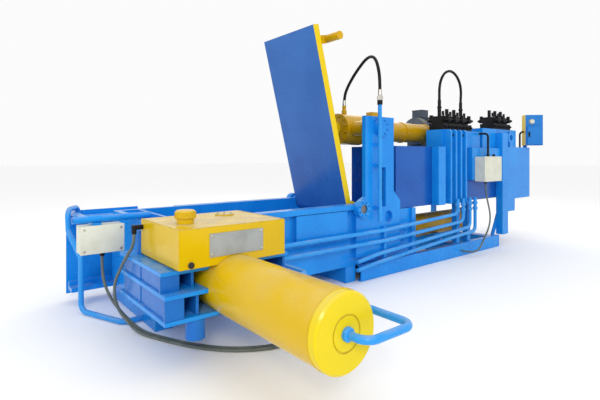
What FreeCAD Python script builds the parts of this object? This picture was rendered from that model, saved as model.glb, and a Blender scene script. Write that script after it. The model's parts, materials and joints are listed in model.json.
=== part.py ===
import FreeCAD, Part
import math
import os
import re

import Sketcher
from FreeCAD import Placement, Rotation, Vector

# Three-way scrap baler. Origin: centre of the anchor pattern on the floor.
# +X runs along the press towards the power pack, +Y away from the side cylinder, +Z up.

SIZES = {
    # hopper (charging box)
    "hopper_right": -691, "hopper_length": 1781, "hopper_half": 370, "hopper_top": 680,
    "wall_plate": 45, "rim_out": 50, "rim_height": 44, "floor_top": 165, "floor_plate": 25,
    "end_plate": 45, "end_roof": 150, "wall_tail": 751, "press_height": 416, "web_plate": 16,
    "chamber_width": 400, "side_panel_length": 554, "side_panel_left": 717,
    "side_panel_low": 393, "side_panel_high": 631,
    # lid and its hinge
    "hinge_in": 11, "lid_drop": 59, "lid_thick": 60, "lid_length": 1613, "lid_gap": 10,
    "lid_open_angle": 75.8, "lid_skin": 16, "lid_rib": 14, "hinge_pin": 40, "hinge_fit": 0.08,
    "lug_along": 685, "lug_rise": 247, "lug_plate": 30, "lug_round": 62, "peg_along": 1490,
    "peg_out": 470, "peg_rise": 120, "peg_radius": 35, "eye_width": 70, "eye_round": 55,
    "eye_pin": 26, "eye_side_gap": 12, "hinge_housing": 78, "hinge_housing_out": 60,
    # lid cylinder
    "lid_pin_to_trunnion": 200, "lid_barrel": 108, "lid_bore": 80, "lid_rod": 42,
    "lid_head": 152, "lid_head_front": 105, "lid_head_back": 190, "lid_barrel_end": 1330,
    "lid_gland": 92, "trunnion_pin": 45, "trunnion_shoulder": 72, "trunnion_step": 290,
    "lid_piston": 90, "trunnion_housing": 80, "trunnion_cap": 6,
    # posts
    "post_plate": 40, "post_left": 196, "post_right": 194, "post_rise": 95, "post_foot_low": 210,
    "post_foot_left": 116, "post_foot_right": 96, "post_slot": 60,
    # press ram (along X)
    "ram_height": 408, "ram_gap": 6, "press_ram_length": 520, "press_ram_plate": 90,
    "crosshead": 60, "press_axis_high": 135, "press_barrel": 132, "press_bore": 105,
    "press_barrel_length": 1600, "press_cap": 55, "press_rod": 75, "press_piston": 140,
    "press_gland": 60, "bore_gap": 0.05,
    # side press (along Y)
    "side_axis_high": 226, "side_barrel": 168, "side_bore": 134, "side_barrel_out": 854,
    "side_cap": 45, "side_rod": 95, "side_piston": 140, "side_gland": 70, "side_plate": 80,
    "ram_side_gap": 5,
    "frame_front": 553, "frame_over": 202, "frame_right": 402, "frame_plate": 22,
    "frame_low_high": 250, "frame_mid_high": 379, "frame_top_high": 485,
    "mount_plate": 60, "mount_set_back": 330, "frame_back": 125, "frame_setback": 60,
    "side_foot": 92, "foot_round": 52, "foot_in": 186, "foot_drop": 110, "cover_wide": 102,
    "stub_round": 26, "stub_tall": 138,
    # prefill tank
    "tank_width": 662, "tank_low": 517, "tank_tall": 205, "tank_gap": 2,
    "filler_radius": 56, "filler_tall": 74, "filler_in": 93, "cover_radius": 60,
    "cover_tall": 8, "plate_wide": 335, "plate_tall": 125, "plate_thick": 4, "plate_gap": 3.1,
    "drain_radius": 15,
    # base
    "beam_left": -691, "beam_right": 1755, "beam_tall": 138, "beam_wide": 52, "beam_web": 12,
    "column_side": 60, "foot_long": 120,
    "anchor_hole": 11, "anchor_pitch": 1300,
    # power pack
    "oil_left": -141, "oil_right": 2670, "oil_near": 430, "oil_far": 190, "oil_low": 590,
    "oil_top": 1200, "oil_end_low": 553, "plinth_left": 292, "plinth_start": 640,
    "plinth_right": 1420, "plinth_top": 1390, "plinth_back": 200, "rib_plate": 55,
    "rib_top": 1390, "panel_left": 1154, "panel_right": 1804, "panel_low": 830,
    "panel_out": 28, "end_in": 200, "eye_in": 519, "eye_high": 139, "eye_ring": 78,
    "eye_hole": 37, "skirt_in": 632, "skirt_wide": 206, "skirt_tall": 156,
    "motor_radius": 185, "motor_length": 560, "motor_left": 1200, "motor_y": 400,
    "deck_out": 391, "terminal_wide": 140, "terminal_deep": 150, "terminal_tall": 95,
    "pump_long": 190, "pump_half": 70, "bell_long": 150,
    # control gear
    "box_right_wide": 383, "box_right_tall": 282, "box_right_deep": 108, "box_right_x": 1212,
    "box_right_z": 813, "control_x": 2660, "control_y": 470, "control_wide": 222,
    "control_tall": 409, "control_deep": 124, "control_low": 1248, "control_turn": 45,
    "door_thick": 18, "button_radius": 28, "left_box_wide": 253, "left_box_tall": 169,
    "left_box_deep": 110, "left_box_out": 361, "left_box_near": 200, "gland_radius": 16,
    "gland_long": 30, "wire_radius": 12, "wire_bend": 40,
    # gate
    "gate_thick": 80, "gate_travel": 420, "gate_gap": 4, "rail_high": 60, "rail_keeper": 30,
    "housing_left": 288, "housing_far": 612, "housing_near": 180, "housing_plate": 12,
    "guard_left": 399, "guard_long": 479, "guard_near": 158,
    "gate_barrel": 36, "gate_rod": 16, "gate_piston": 30,
    # pipes and hoses
    "pipe_radius": 18, "pipe_bend": 60, "hose_radius": 14.5, "cable_radius": 9,
}

DOC = FreeCAD.newDocument("baler")
SHEET = DOC.addObject("Spreadsheet::Sheet", "Dims")
for row, (name, value) in enumerate(SIZES.items(), start=1):
    SHEET.set(f"A{row}", name)
    SHEET.set(f"B{row}", str(value))
    SHEET.setAlias(f"B{row}", name)
DOC.recompute()

# places that several pieces share, as expressions of the sheet
LEFT = "(hopper_right-hopper_length)"
END = "(hopper_right-hopper_length-end_plate)"
TAIL = "(hopper_right+wall_tail)"
WALL = "(hopper_half+wall_plate)"
RIM = "(hopper_half+wall_plate+rim_out)"
HINGE_X = "(hopper_right-hinge_in)"
HINGE_Z = "(floor_top+press_height+lid_drop)"
PIN_X = f"({HINGE_X}-lug_along*cos(lid_open_angle)+lug_rise*sin(lid_open_angle))"
PIN_Z = f"({HINGE_Z}+lug_along*sin(lid_open_angle)+lug_rise*cos(lid_open_angle))"
TRUNNION_X = f"({PIN_X}+lid_pin_to_trunnion)"
SIDE_X = f"({LEFT}+chamber_width/2)"
SIDE_Z = "(floor_top+side_axis_high)"
FRONT = f"({RIM}+frame_front)"
PRESS_Z = "(floor_top+press_axis_high)"
GATE_Z = "(hopper_top-rail_keeper-gate_barrel-gate_gap)"
TURNS = {"x": Rotation(Vector(0, 1, 0), 90), "y": Rotation(Vector(1, 0, 0), -90), "z": Rotation()}
PARTS = []


def bound(text):
    """The expression with each sheet name given its sheet."""
    return re.sub(r"[a-z][a-z_0-9]*",
                  lambda word: "Dims." + word.group() if word.group() in SIZES else word.group(),
                  str(text))


def size(text):
    """The value of a size, or of an expression of sizes."""
    return float(SHEET.evalExpression(bound(text)))


def keep(item, label):
    """Mark an object as a sub-part and give it its name."""
    item.Label = label
    PARTS.append(item)
    return item


def place(item, corner, turn=Rotation()):
    """Put an object at a corner whose coordinates are bound to the sheet."""
    item.Placement = Placement(Vector(), turn)
    for axis, text in zip("xyz", corner):
        item.setExpression("Placement.Base." + axis, bound(text))
    return item


def box(corner, extent):
    """A block from its lowest corner."""
    item = DOC.addObject("Part::Box", "block")
    for side, text in zip(("Length", "Width", "Height"), extent):
        item.setExpression(side, bound(text))
    return place(item, corner)


def rod(corner, radius, length, axis="z"):
    """A round bar that starts at a point and runs along an axis."""
    item = DOC.addObject("Part::Cylinder", "bar")
    item.setExpression("Radius", bound(radius))
    item.setExpression("Height", bound(length))
    return place(item, corner, TURNS[axis])


def fuse(*items):
    """One solid from several."""
    item = DOC.addObject("Part::MultiFuse", "joined")
    item.Shapes = list(items)
    return item


def group(*items):
    """Several separate solids in one object."""
    item = DOC.addObject("Part::Compound", "set")
    item.Links = list(items)
    return item


def cut(base, *tools):
    """A solid with others taken away."""
    item = DOC.addObject("Part::Cut", "cut")
    item.Base = base
    item.Tool = tools[0] if len(tools) == 1 else fuse(*tools)
    return item


def tube(corner, outer, inner, length, axis="z"):
    """A round tube, open at both ends."""
    return cut(rod(corner, outer, length, axis), rod(corner, inner, length, axis))


def origin_plane(body, role):
    """One of a body's own origin planes."""
    return next(plane for plane in body.Origin.OriginFeatures if plane.Role == role)


def bind_point(sketch, geometry, end, point):
    """Tie a sketch point to bound distances from the sketch origin."""
    for kind, text in zip(("DistanceX", "DistanceY"), point):
        index = sketch.addConstraint(Sketcher.Constraint(kind, -1, 1, geometry, end, 1.0))
        sketch.setExpression(f"Constraints[{index}]", bound(text))


def outline(body, role, points, holes=()):
    """A sketch on an origin plane: a closed outline and round holes (x, y, radius)."""
    sketch = body.newObject("Sketcher::SketchObject", "outline")
    sketch.AttachmentSupport = [(origin_plane(body, role), "")]
    sketch.MapMode = "FlatFace"
    count = len(points)
    for step in range(count):
        angle = 2 * math.pi * step / count
        after = 2 * math.pi * (step + 1) / count
        line = Part.LineSegment(Vector(math.cos(angle), math.sin(angle), 0),
                                Vector(math.cos(after), math.sin(after), 0))
        sketch.addGeometry(line, False)
    for step in range(count):
        sketch.addConstraint(Sketcher.Constraint("Coincident", step, 2, (step + 1) % count, 1))
    for step, point in enumerate(points):
        bind_point(sketch, step, 1, point)
    for x, y, radius in holes:
        index = sketch.addGeometry(Part.Circle(Vector(), Vector(0, 0, 1), 1), False)
        bind_point(sketch, index, 3, (x, y))
        ring = sketch.addConstraint(Sketcher.Constraint("Radius", index, 1.0))
        sketch.setExpression(f"Constraints[{ring}]", bound(radius))
    return sketch


def slab(corner, role, points, thickness, holes=()):
    """A plate cut to an outline. It grows along +X, +Y or +Z from its plane."""
    body = DOC.addObject("PartDesign::Body", "plate")
    sketch = outline(body, role, points, holes)
    pad = body.newObject("PartDesign::Pad", "pad")
    pad.Profile = sketch
    pad.Reversed = role == "XZ_Plane"
    pad.setExpression("Length", bound(thickness))
    return place(body, corner)


def turned(corner, points, axis="z"):
    """A turned piece: (radius, height) points swept round an axis through the corner."""
    body = DOC.addObject("PartDesign::Body", "turning")
    sketch = outline(body, "XZ_Plane", points)
    spin = body.newObject("PartDesign::Revolution", "spin")
    spin.Profile = sketch
    spin.ReferenceAxis = (sketch, ["V_Axis"])
    spin.Angle = 360
    return place(body, corner, TURNS[axis])


def route(points, radius, bend):
    """A round bar along straight runs joined by tangent arcs.

    bend is one radius for every corner, or None for arcs as large as the runs allow.
    """
    spots = [Vector(*point) for point in points]
    edges = []
    start = spots[0]
    radii = []
    for before, corner, after in zip(spots, spots[1:], spots[2:]):
        one, two = (before - corner), (after - corner)
        shorter = min(one.Length, two.Length)
        one.normalize()
        two.normalize()
        half_turn = (math.pi - one.getAngle(two)) / 2
        arc = bend if bend else 0.45 * shorter / math.tan(half_turn)
        reach = arc * math.tan(half_turn)
        first, last = corner + one * reach, corner + two * reach
        middle = corner + (one + two).normalize() * (arc / math.cos(half_turn) - arc)
        edges.append(Part.LineSegment(start, first).toShape())
        edges.append(Part.Arc(first, middle, last).toShape())
        radii.append(arc)
        start = last
    edges.append(Part.LineSegment(start, spots[-1]).toShape())
    path = Part.Wire(edges)
    ring = Part.Wire(Part.makeCircle(radius, spots[0], spots[1] - spots[0]))
    shape = path.makePipeShell([ring], True, False)
    item = DOC.addObject("Part::Feature", "route")
    item.Shape = shape
    item.Placement = Placement()
    return item, path.Length, radii


def pipe(label, points, radius="pipe_radius", bend="pipe_bend"):
    """A rigid bent pipe."""
    item, _, _ = route(points, size(radius), size(bend))
    return keep(item, label)


def cord(label, points, radius):
    """A cable or hose that lies or hangs. It prints its length and tightest bend."""
    item, length, radii = route(points, size(radius), None)
    section = math.pi * size(radius) ** 2
    print(f"{label}: length {length:.0f}, volume ratio {item.Shape.Volume / section / length:.4f},"
          f" bends {[round(value) for value in radii]}")
    return keep(item, label)


# ---------------------------------------------------------------- hopper
def wall(label, side):
    """A side wall of the hopper with its chamber window and the hinge shaft hole."""
    low = f"-{WALL}" if side < 0 else "hopper_half"
    plate = box((END, low, "floor_top-floor_plate"),
                (f"{TAIL}-{END}", "wall_plate", "hopper_top-floor_top+floor_plate"))
    window = box((LEFT, f"{low}-1", "floor_top"), ("chamber_width", "wall_plate+2", "press_height"))
    shaft = rod((HINGE_X, f"{low}-1", HINGE_Z), "hinge_pin+hinge_fit", "wall_plate+2", "y")
    right = f"({HINGE_X}-hinge_housing-2)"
    left, edge = (END, f"-{RIM}") if side < 0 else (f"({LEFT}+chamber_width+rail_high)", WALL)
    rim = box((left, edge, "hopper_top-rim_height"), (f"{right}-{left}", "rim_out", "rim_height"))
    notch = box(("oil_left-10", f"{low}-1", "oil_low-tank_gap"),
                (f"{TAIL}-oil_left+11", "wall_plate+2", "oil_top-oil_low"))
    panel = box(("hopper_right-side_panel_left", f"-{WALL}-rim_out+6" if side < 0 else WALL,
                 "side_panel_low"),
                ("side_panel_length", "rim_out-6", "side_panel_high-side_panel_low"))
    keep(fuse(cut(plate, window, shaft, notch), rim, panel), label)


def hopper():
    """The charging box: walls, rims, floor, end block and the side stiffening."""
    wall("near_wall", -1)
    wall("far_wall", 1)
    keep(box((END, "-hopper_half", "floor_top-floor_plate"),
             (f"{TAIL}-{END}", "2*hopper_half", "floor_plate")), "floor_plate")
    inner = box((END, "-hopper_half", "floor_top"),
                ("end_plate", "2*hopper_half", "hopper_top-floor_top"))
    roof = box((END, "-hopper_half", "floor_top+press_height+lid_gap/2"),
               ("end_roof+end_plate", "2*hopper_half", "end_plate/2"))
    lip = box((f"{END}+end_roof+end_plate/2", "-hopper_half", "floor_top+press_height+lid_gap/2"),
              ("end_plate/2", "2*hopper_half", "hopper_top-floor_top-press_height-lid_gap/2"))
    keep(fuse(inner, roof, lip), "left_end_block")


def posts():
    """Two upright plates that carry the lid cylinder's trunnions."""
    foot_left, foot_right = "post_foot_left", "post_foot_right"
    top = f"{PIN_Z}-hopper_top+post_rise"
    rise = "hopper_top-post_foot_low"
    width = "post_left+post_right"
    points = [(0, 0), (f"{foot_left}+{width}+{foot_right}", 0),
              (f"{foot_left}+{width}+{foot_right}", rise),
              (f"{foot_left}+{width}", f"{rise}+{foot_right}"),
              (f"{foot_left}+{width}", f"{rise}+{top}"),
              (foot_left, f"{rise}+{top}"),
              (foot_left, f"{rise}+{foot_left}/2"),
              (0, rise)]
    left = f"{TRUNNION_X}-post_left-{foot_left}"
    hole = (f"{foot_left}+post_left", f"{PIN_Z}-post_foot_low", "trunnion_pin+hinge_fit")
    for label, low in (("near_post", f"-{WALL}-post_plate"), ("far_post", WALL)):
        plate = slab((left, low, "post_foot_low"), "XZ_Plane", points, "post_plate", [hole])
        shaft = rod((HINGE_X, f"{low}-1", HINGE_Z), "hinge_pin+hinge_fit", "post_plate+2", "y")
        slot = box((f"{TRUNNION_X}+post_slot/3", f"{low}-1", "hopper_top-rim_height"),
                   ("post_slot", "post_plate+2", "post_slot*6"))
        arch = rod((f"{TRUNNION_X}+post_slot*2", f"{low}-1", "hopper_top-rim_height*3.2"),
                   "post_slot*0.9", "post_plate+2", "y")
        keep(cut(plate, shaft, slot, arch), label)
    deep = "(hinge_housing_out/2+0.5)"
    rings = [cut(rod((TRUNNION_X, low, PIN_Z), "trunnion_housing", f"{deep}+trunnion_cap", "y"),
                 rod((TRUNNION_X, bore, PIN_Z), "trunnion_pin+hinge_fit", f"{deep}+1", "y"))
             for low, bore in ((f"-{WALL}-post_plate-{deep}-trunnion_cap",
                                f"-{WALL}-post_plate-{deep}"),
                               (f"{WALL}+post_plate", f"{WALL}+post_plate-1"))]
    rings += [tube((HINGE_X, low, HINGE_Z), "hinge_housing", "hinge_pin+hinge_fit",
                   "hinge_housing_out", "y")
              for low in (f"-{WALL}-post_plate-hinge_housing_out", f"{WALL}+post_plate")]
    keep(group(*rings), "bearing_rings")


# ---------------------------------------------------------------- lid
def turn_about(item, axis, angle, corner):
    """Turn a piece drawn at the origin by a sheet angle and move it to a corner."""
    item.Placement = Placement(Vector(), Rotation(Vector(*axis), size(angle)))
    item.setExpression("Placement.Rotation.Angle", bound(angle))
    for letter, text in zip("xyz", corner):
        item.setExpression("Placement.Base." + letter, bound(text))
    return item


def swing(item):
    """Turn a piece drawn shut, round the hinge axis, to its open place."""
    return turn_about(item, (0, 1, 0), "lid_open_angle", (HINGE_X, "0", HINGE_Z))


def lid():
    """The lid, drawn shut about its hinge axis: skin below, frame and ribs above."""
    half = "(hopper_half-lid_gap)"
    skin = box(("-lid_length", f"-{half}", "-lid_drop"), ("lid_length", f"2*{half}", "lid_skin"))
    tail = rod((0, f"-{half}", 0), "lid_drop", f"2*{half}", "y")
    rise = "lid_thick-lid_skin"
    base = "-lid_drop+lid_skin"
    edges = [box(("-lid_length", low, base), ("lid_length", "lid_skin", rise))
             for low in (f"-{half}", f"{half}-lid_skin")]
    edges.append(box(("-lid_length", f"-{half}", base), ("lid_skin", f"2*{half}", rise)))
    ribs = [box((f"-lid_length*{share}", f"-{half}", base), ("lid_rib", f"2*{half}", f"{rise}-10"))
            for share in (0.15, 0.32, 0.61, 0.78, 0.9)]
    spines = [box(("-lid_length", f"{low}", base), ("lid_length", "lid_rib", f"{rise}-10"))
              for low in ("-eye_width*2.2", "eye_width*2.2-lid_rib")]
    shaft = rod((0, f"-{RIM}-post_plate", 0), "hinge_pin", f"2*({RIM}+post_plate)", "y")
    core = rod((0, f"-{half}-1", 0), "hinge_pin", f"2*{half}+2", "y")
    keep(swing(cut(fuse(skin, tail, *edges), core)), "lid_plate")
    peg = rod(("-peg_along", "-peg_out", "peg_rise"), "peg_radius", "peg_out-hopper_half/2", "y")
    bracket = box(("-peg_along-peg_radius", "-hopper_half*0.85", base),
                  ("2*peg_radius", "hopper_half*0.3", f"peg_rise-({base})"))
    ends = [box(("-lid_length-1", low, base), ("lid_length+2", "lid_skin", rise))
            for low in (f"-{half}", f"{half}-lid_skin")]
    ends.append(box(("-lid_length", f"-{half}", base), ("lid_skin", f"2*{half}", rise)))
    grid = cut(fuse(*ribs, *spines, peg, bracket),
               rod((0, f"-{half}", 0), "lid_drop", f"2*{half}", "y"), *ends)
    keep(swing(group(grid)), "lid_ribs")
    keep(swing(group(shaft)), "hinge_shaft")
    gap = "(eye_width/2+eye_side_gap)"
    lugs = []
    for low in (gap, f"-{gap}-lug_plate"):
        points = [("-lug_along-lug_round*2.2", 0), ("-lug_along+lug_round*2.2", 0),
                  ("-lug_along+lug_round", "lug_rise+lid_drop-lid_skin"),
                  ("-lug_along-lug_round", "lug_rise+lid_drop-lid_skin")]
        web = slab((0, low, base), "XZ_Plane", points, "lug_plate")
        boss = rod(("-lug_along", low, "lug_rise"), "lug_round", "lug_plate", "y")
        lugs.append(fuse(web, boss))
    ends = [rod(("-lug_along", low, "lug_rise"), "eye_pin", "lug_plate+eye_side_gap", "y")
            for low in (gap, f"-{gap}-lug_plate-eye_side_gap")]
    keep(swing(group(*[fuse(one, two) for one, two in zip(lugs, ends)])), "lid_lugs")


def lid_cylinder():
    """The cylinder that opens the lid, hung on trunnions between the posts."""
    start = f"{TRUNNION_X}-lid_head_front"
    head = rod((start, 0, PIN_Z), "lid_head", "lid_head_front+lid_head_back", "x")
    barrel = rod((TRUNNION_X, 0, PIN_Z), "lid_barrel", "lid_barrel_end", "x")
    trunnion = rod((TRUNNION_X, f"-{WALL}-post_plate-hinge_housing_out/2", PIN_Z), "trunnion_pin",
                   f"2*({WALL}+post_plate+hinge_housing_out/2)", "y")
    shoulder = rod((TRUNNION_X, "-trunnion_step", PIN_Z), "trunnion_shoulder",
                   "2*trunnion_step", "y")
    bore = rod((f"{start}-1", 0, PIN_Z), "lid_bore", "lid_head_front+lid_barrel_end+1-lid_bore/2", "x")
    port = turned((f"{start}+95", 0, f"{PIN_Z}+lid_head-4"),
                  [(0, 0), (26, 0), (26, 40), (20, 46), (20, 84), (0, 84)])
    block = box((f"{TRUNNION_X}+lid_head_back*1.87", "-lid_rod", f"{PIN_Z}+lid_barrel-8"),
                ("lid_barrel", "2*lid_rod", "lid_barrel*0.88"))
    gland = turned((start, 0, PIN_Z), [("lid_rod+bore_gap", 0), ("lid_bore", 0),
                                       ("lid_bore", "lid_gland"),
                                       ("lid_rod+bore_gap", "lid_gland")], "x")
    keep(group(cut(fuse(head, barrel, trunnion, shoulder, port, block), bore), gland), "lid_barrel")
    neck = f"{PIN_X}+eye_round*0.8"
    back = f"({TRUNNION_X}+lid_barrel_end-lid_bore/2-lid_piston-3)"
    bar = rod((neck, 0, PIN_Z), "lid_rod", f"{back}-({neck})+1", "x")
    piston = rod((back, 0, PIN_Z), "lid_bore-bore_gap", "lid_piston", "x")
    eye = rod((PIN_X, "-eye_width/2", PIN_Z), "eye_round", "eye_width", "y")
    keep(fuse(bar, piston, eye), "lid_rod")


# ---------------------------------------------------------------- press along X
def press_ram():
    """The pre-compression ram, its cylinder and the crosshead that it pushes from."""
    width = "2*(hopper_half-ram_gap)"
    low = "floor_top+2"
    face = box(("hopper_right", "-hopper_half+ram_gap", low),
               ("press_ram_plate", width, "ram_height-2"))
    roof = box(("hopper_right", "-hopper_half+ram_gap", "floor_top+ram_height-30"),
               ("press_ram_length", width, "30"))
    sole = box(("hopper_right", "-hopper_half+ram_gap", low), ("press_ram_length", width, "30"))
    cheeks = [box(("hopper_right", place_y, low), ("press_ram_length", "30", "ram_height-2"))
              for place_y in ("-hopper_half+ram_gap", "hopper_half-ram_gap-30")]
    keep(fuse(face, roof, sole, *cheeks), "press_ram")
    head = box((f"{TAIL}-crosshead", "-hopper_half", "floor_top"),
               ("crosshead", "2*hopper_half", "oil_low-tank_gap-floor_top"))
    hole = rod((f"{TAIL}-crosshead-1", 0, PRESS_Z), "press_barrel", "crosshead+2", "x")
    keep(cut(head, hole), "crosshead")
    start = f"{TAIL}-crosshead"
    barrel = tube((start, 0, PRESS_Z), "press_barrel", "press_bore", "press_barrel_length", "x")
    cap = rod((f"{start}+press_barrel_length", 0, PRESS_Z), "press_barrel+12", "press_cap", "x")
    gland = turned((start, 0, PRESS_Z), [("press_rod+bore_gap", 0), ("press_bore", 0),
                                         ("press_bore", "press_gland"),
                                         ("press_rod+bore_gap", "press_gland")], "x")
    keep(group(fuse(barrel, cap), gland), "press_barrel")
    rod_from = "hopper_right+press_ram_plate"
    back = f"({start}+press_barrel_length-press_piston-3)"
    bar = rod((rod_from, 0, PRESS_Z), "press_rod", f"{back}-({rod_from})+1", "x")
    piston = rod((back, 0, PRESS_Z), "press_bore-bore_gap", "press_piston", "x")
    keep(fuse(bar, piston), "press_rod")


# ---------------------------------------------------------------- side press
def side_frame():
    """The stack of horizontal plates and webs that carries the side cylinder."""
    left = f"{SIDE_X}-frame_right"
    plates = []
    for high, setback in (("frame_low_high", "0"), ("frame_mid_high", "0"),
                          ("frame_top_high", "frame_setback")):
        front = f"({FRONT}-{setback})"
        notch = f"{END}-({left})-2"
        points = [(0, 0), ("2*frame_right", 0), ("2*frame_right", f"{front}-{WALL}"),
                  (notch, f"{front}-{WALL}"), (notch, f"{front}-{WALL}+frame_back"),
                  (0, f"{front}-{WALL}+frame_back")]
        plate = slab((left, f"-{front}", high), "XY_Plane", points, "frame_plate")
        bore = rod((SIDE_X, f"-{FRONT}-1", SIDE_Z), "side_barrel+0.3",
                   "mount_set_back+mount_plate+1", "y")
        neck = rod((SIDE_X, f"-{FRONT}", SIDE_Z), "side_rod+20", "frame_front+rim_out+1", "y")
        mouth = box((LEFT, "-hopper_half-side_plate-ram_side_gap", "frame_low_high-1"),
                    ("chamber_width", "side_plate+ram_side_gap", "ram_height"))
        plates.append(cut(plate, bore, neck, mouth))
    keep(group(*plates), "side_plates")
    bays = (("frame_low_high+frame_plate", "frame_mid_high-frame_low_high-frame_plate", "0"),
            ("frame_mid_high+frame_plate", "frame_top_high-frame_mid_high-frame_plate",
             "frame_setback"))
    mounts = [box((f"{left}+web_plate", f"-{FRONT}+mount_set_back", low),
                  ("2*(frame_right-web_plate)", "mount_plate", tall)) for low, tall, _ in bays]
    hole = rod((SIDE_X, f"-{FRONT}", SIDE_Z), "side_barrel+0.3", "mount_set_back+mount_plate+1", "y")
    webs = [cut(mount, hole) for mount in mounts]
    behind = "(frame_front+rim_out-mount_set_back-mount_plate)"
    for low, tall, setback in bays:
        for share in (-0.95, -0.55, 0.55, 0.95):
            webs.append(box((f"{SIDE_X}+frame_right*{share}-web_plate/2", f"-{FRONT}+{setback}+20",
                             low), ("web_plate", f"mount_set_back-{setback}-20", tall)))
        for share, more in ((-0.95, "frame_back*0.6"), (0.95, "0")):
            webs.append(box((f"{SIDE_X}+frame_right*{share}-web_plate/2", f"-{WALL}-{behind}", low),
                            ("web_plate", f"{behind}+{more}", tall)))
        webs.append(box((left, f"-{FRONT}+{setback}+4", low), ("cover_wide", "web_plate", tall)))
    feet = [rod((place_x, f"-{FRONT}+foot_round+4", "frame_low_high-foot_drop"), "foot_round",
                "foot_drop") for place_x in (f"{left}+foot_in", f"{SIDE_X}+frame_right-foot_in")]
    stub = rod((f"{left}+stub_round*3.3", f"-{WALL}-stub_round+4", "frame_top_high+frame_plate"),
               "stub_round", "stub_tall")
    keep(group(*webs, *feet, stub), "side_webs")


def side_press():
    """The side cylinder and the ram that squeezes the bale to its final length."""
    root = f"-{FRONT}+mount_set_back+mount_plate"
    far = f"-{FRONT}-side_barrel_out+side_cap"
    barrel = tube((SIDE_X, far, SIDE_Z), "side_barrel", "side_bore", f"{root}-({far})", "y")
    keep(turned((SIDE_X, f"{far}-side_cap", SIDE_Z),
                [(0, 0), ("side_barrel*0.42", 0), ("side_barrel*0.42", 6), ("side_barrel*0.46", 6),
                 ("side_barrel*0.46", 0), ("side_barrel-10", 0), ("side_barrel", 10),
                 ("side_barrel", "side_cap"), (0, "side_cap")], "y"), "side_cap")
    gland = turned((SIDE_X, f"{root}-side_gland", SIDE_Z),
                   [("side_rod+bore_gap", 0), ("side_bore", 0), ("side_bore", "side_gland"),
                    ("side_rod+bore_gap", "side_gland")], "y")
    keep(group(barrel, gland), "side_barrel")
    back = "-hopper_half-side_plate"
    rear = f"({far}+side_piston+3)"
    bar = rod((SIDE_X, f"{rear}-1", SIDE_Z), "side_rod", f"{back}-{rear}+1", "y")
    piston = rod((SIDE_X, f"{far}+3", SIDE_Z), "side_bore-bore_gap", "side_piston", "y")
    keep(fuse(bar, piston), "side_rod")
    keep(box((f"{LEFT}+ram_side_gap", back, "floor_top+2"),
             ("chamber_width-2*ram_side_gap", "side_plate", "ram_height-2")), "side_ram")


def prefill_tank():
    """The yellow tank over the side frame, with its filler, cover, blank plate and drain."""
    left = f"{SIDE_X}-tank_width/2"
    front = f"-{FRONT}"
    top = "tank_low+tank_tall"
    shell = box((left, front, "tank_low"), ("tank_width", "frame_front-tank_gap", "tank_tall"))
    saddle = rod((SIDE_X, f"{front}-1", SIDE_Z), "side_barrel+0.3",
                 "mount_set_back+mount_plate+2", "y")
    keep(cut(shell, saddle), "prefill_tank")
    keep(turned((f"{left}+filler_in*1.4", f"{front}+filler_in*2.3", top),
                [(0, 0), ("filler_radius*0.85", 0), ("filler_radius*0.85", "filler_tall*0.4"),
                 ("filler_radius", "filler_tall*0.4"), ("filler_radius", "filler_tall-8"),
                 ("filler_radius-8", "filler_tall"), (0, "filler_tall")]), "filler_cap")
    cover = rod((f"{left}+tank_width*0.72", f"{front}+frame_front*0.72", top), "cover_radius",
                "cover_tall")
    keep(box((f"{left}+(tank_width-plate_wide)*0.52", f"{front}-plate_thick",
              f"{SIDE_Z}+side_barrel+plate_gap"),
             ("plate_wide", "plate_thick", "plate_tall")), "blank_plate")
    drain = rod((f"{left}+60", f"{front}-12", "tank_low+drain_radius*1.6"), "drain_radius", "12", "y")
    pads = [box((f"{left}+tank_width*{share}", f"{front}+frame_setback+8",
                 "frame_top_high+frame_plate"),
                 ("side_foot", "frame_front-frame_setback-20", "tank_low-frame_top_high-frame_plate"))
            for share in (0.02, 0.84)]
    keep(group(cover, drain, *pads), "tank_fittings")


# ---------------------------------------------------------------- discharge gate
def gate_housing():
    """The open frame at the left end that guards the gate and its cylinder."""
    left = f"{END}-housing_left"
    far = box((left, "housing_far-housing_plate", "beam_wide"),
              ("housing_left+rim_out*5", "housing_plate", "hopper_top-beam_wide"))
    end = box((left, "-housing_near", "hopper_top-web_plate"),
              ("beam_wide", "housing_near+housing_far-housing_plate", "web_plate"))
    near = tube((f"{END}-guard_left", "-guard_near", "hopper_top+rim_height/2"), "rim_height/2",
                "rim_height/2-5", "guard_long", "x")
    keep(group(fuse(far, end), near), "gate_housing")


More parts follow.
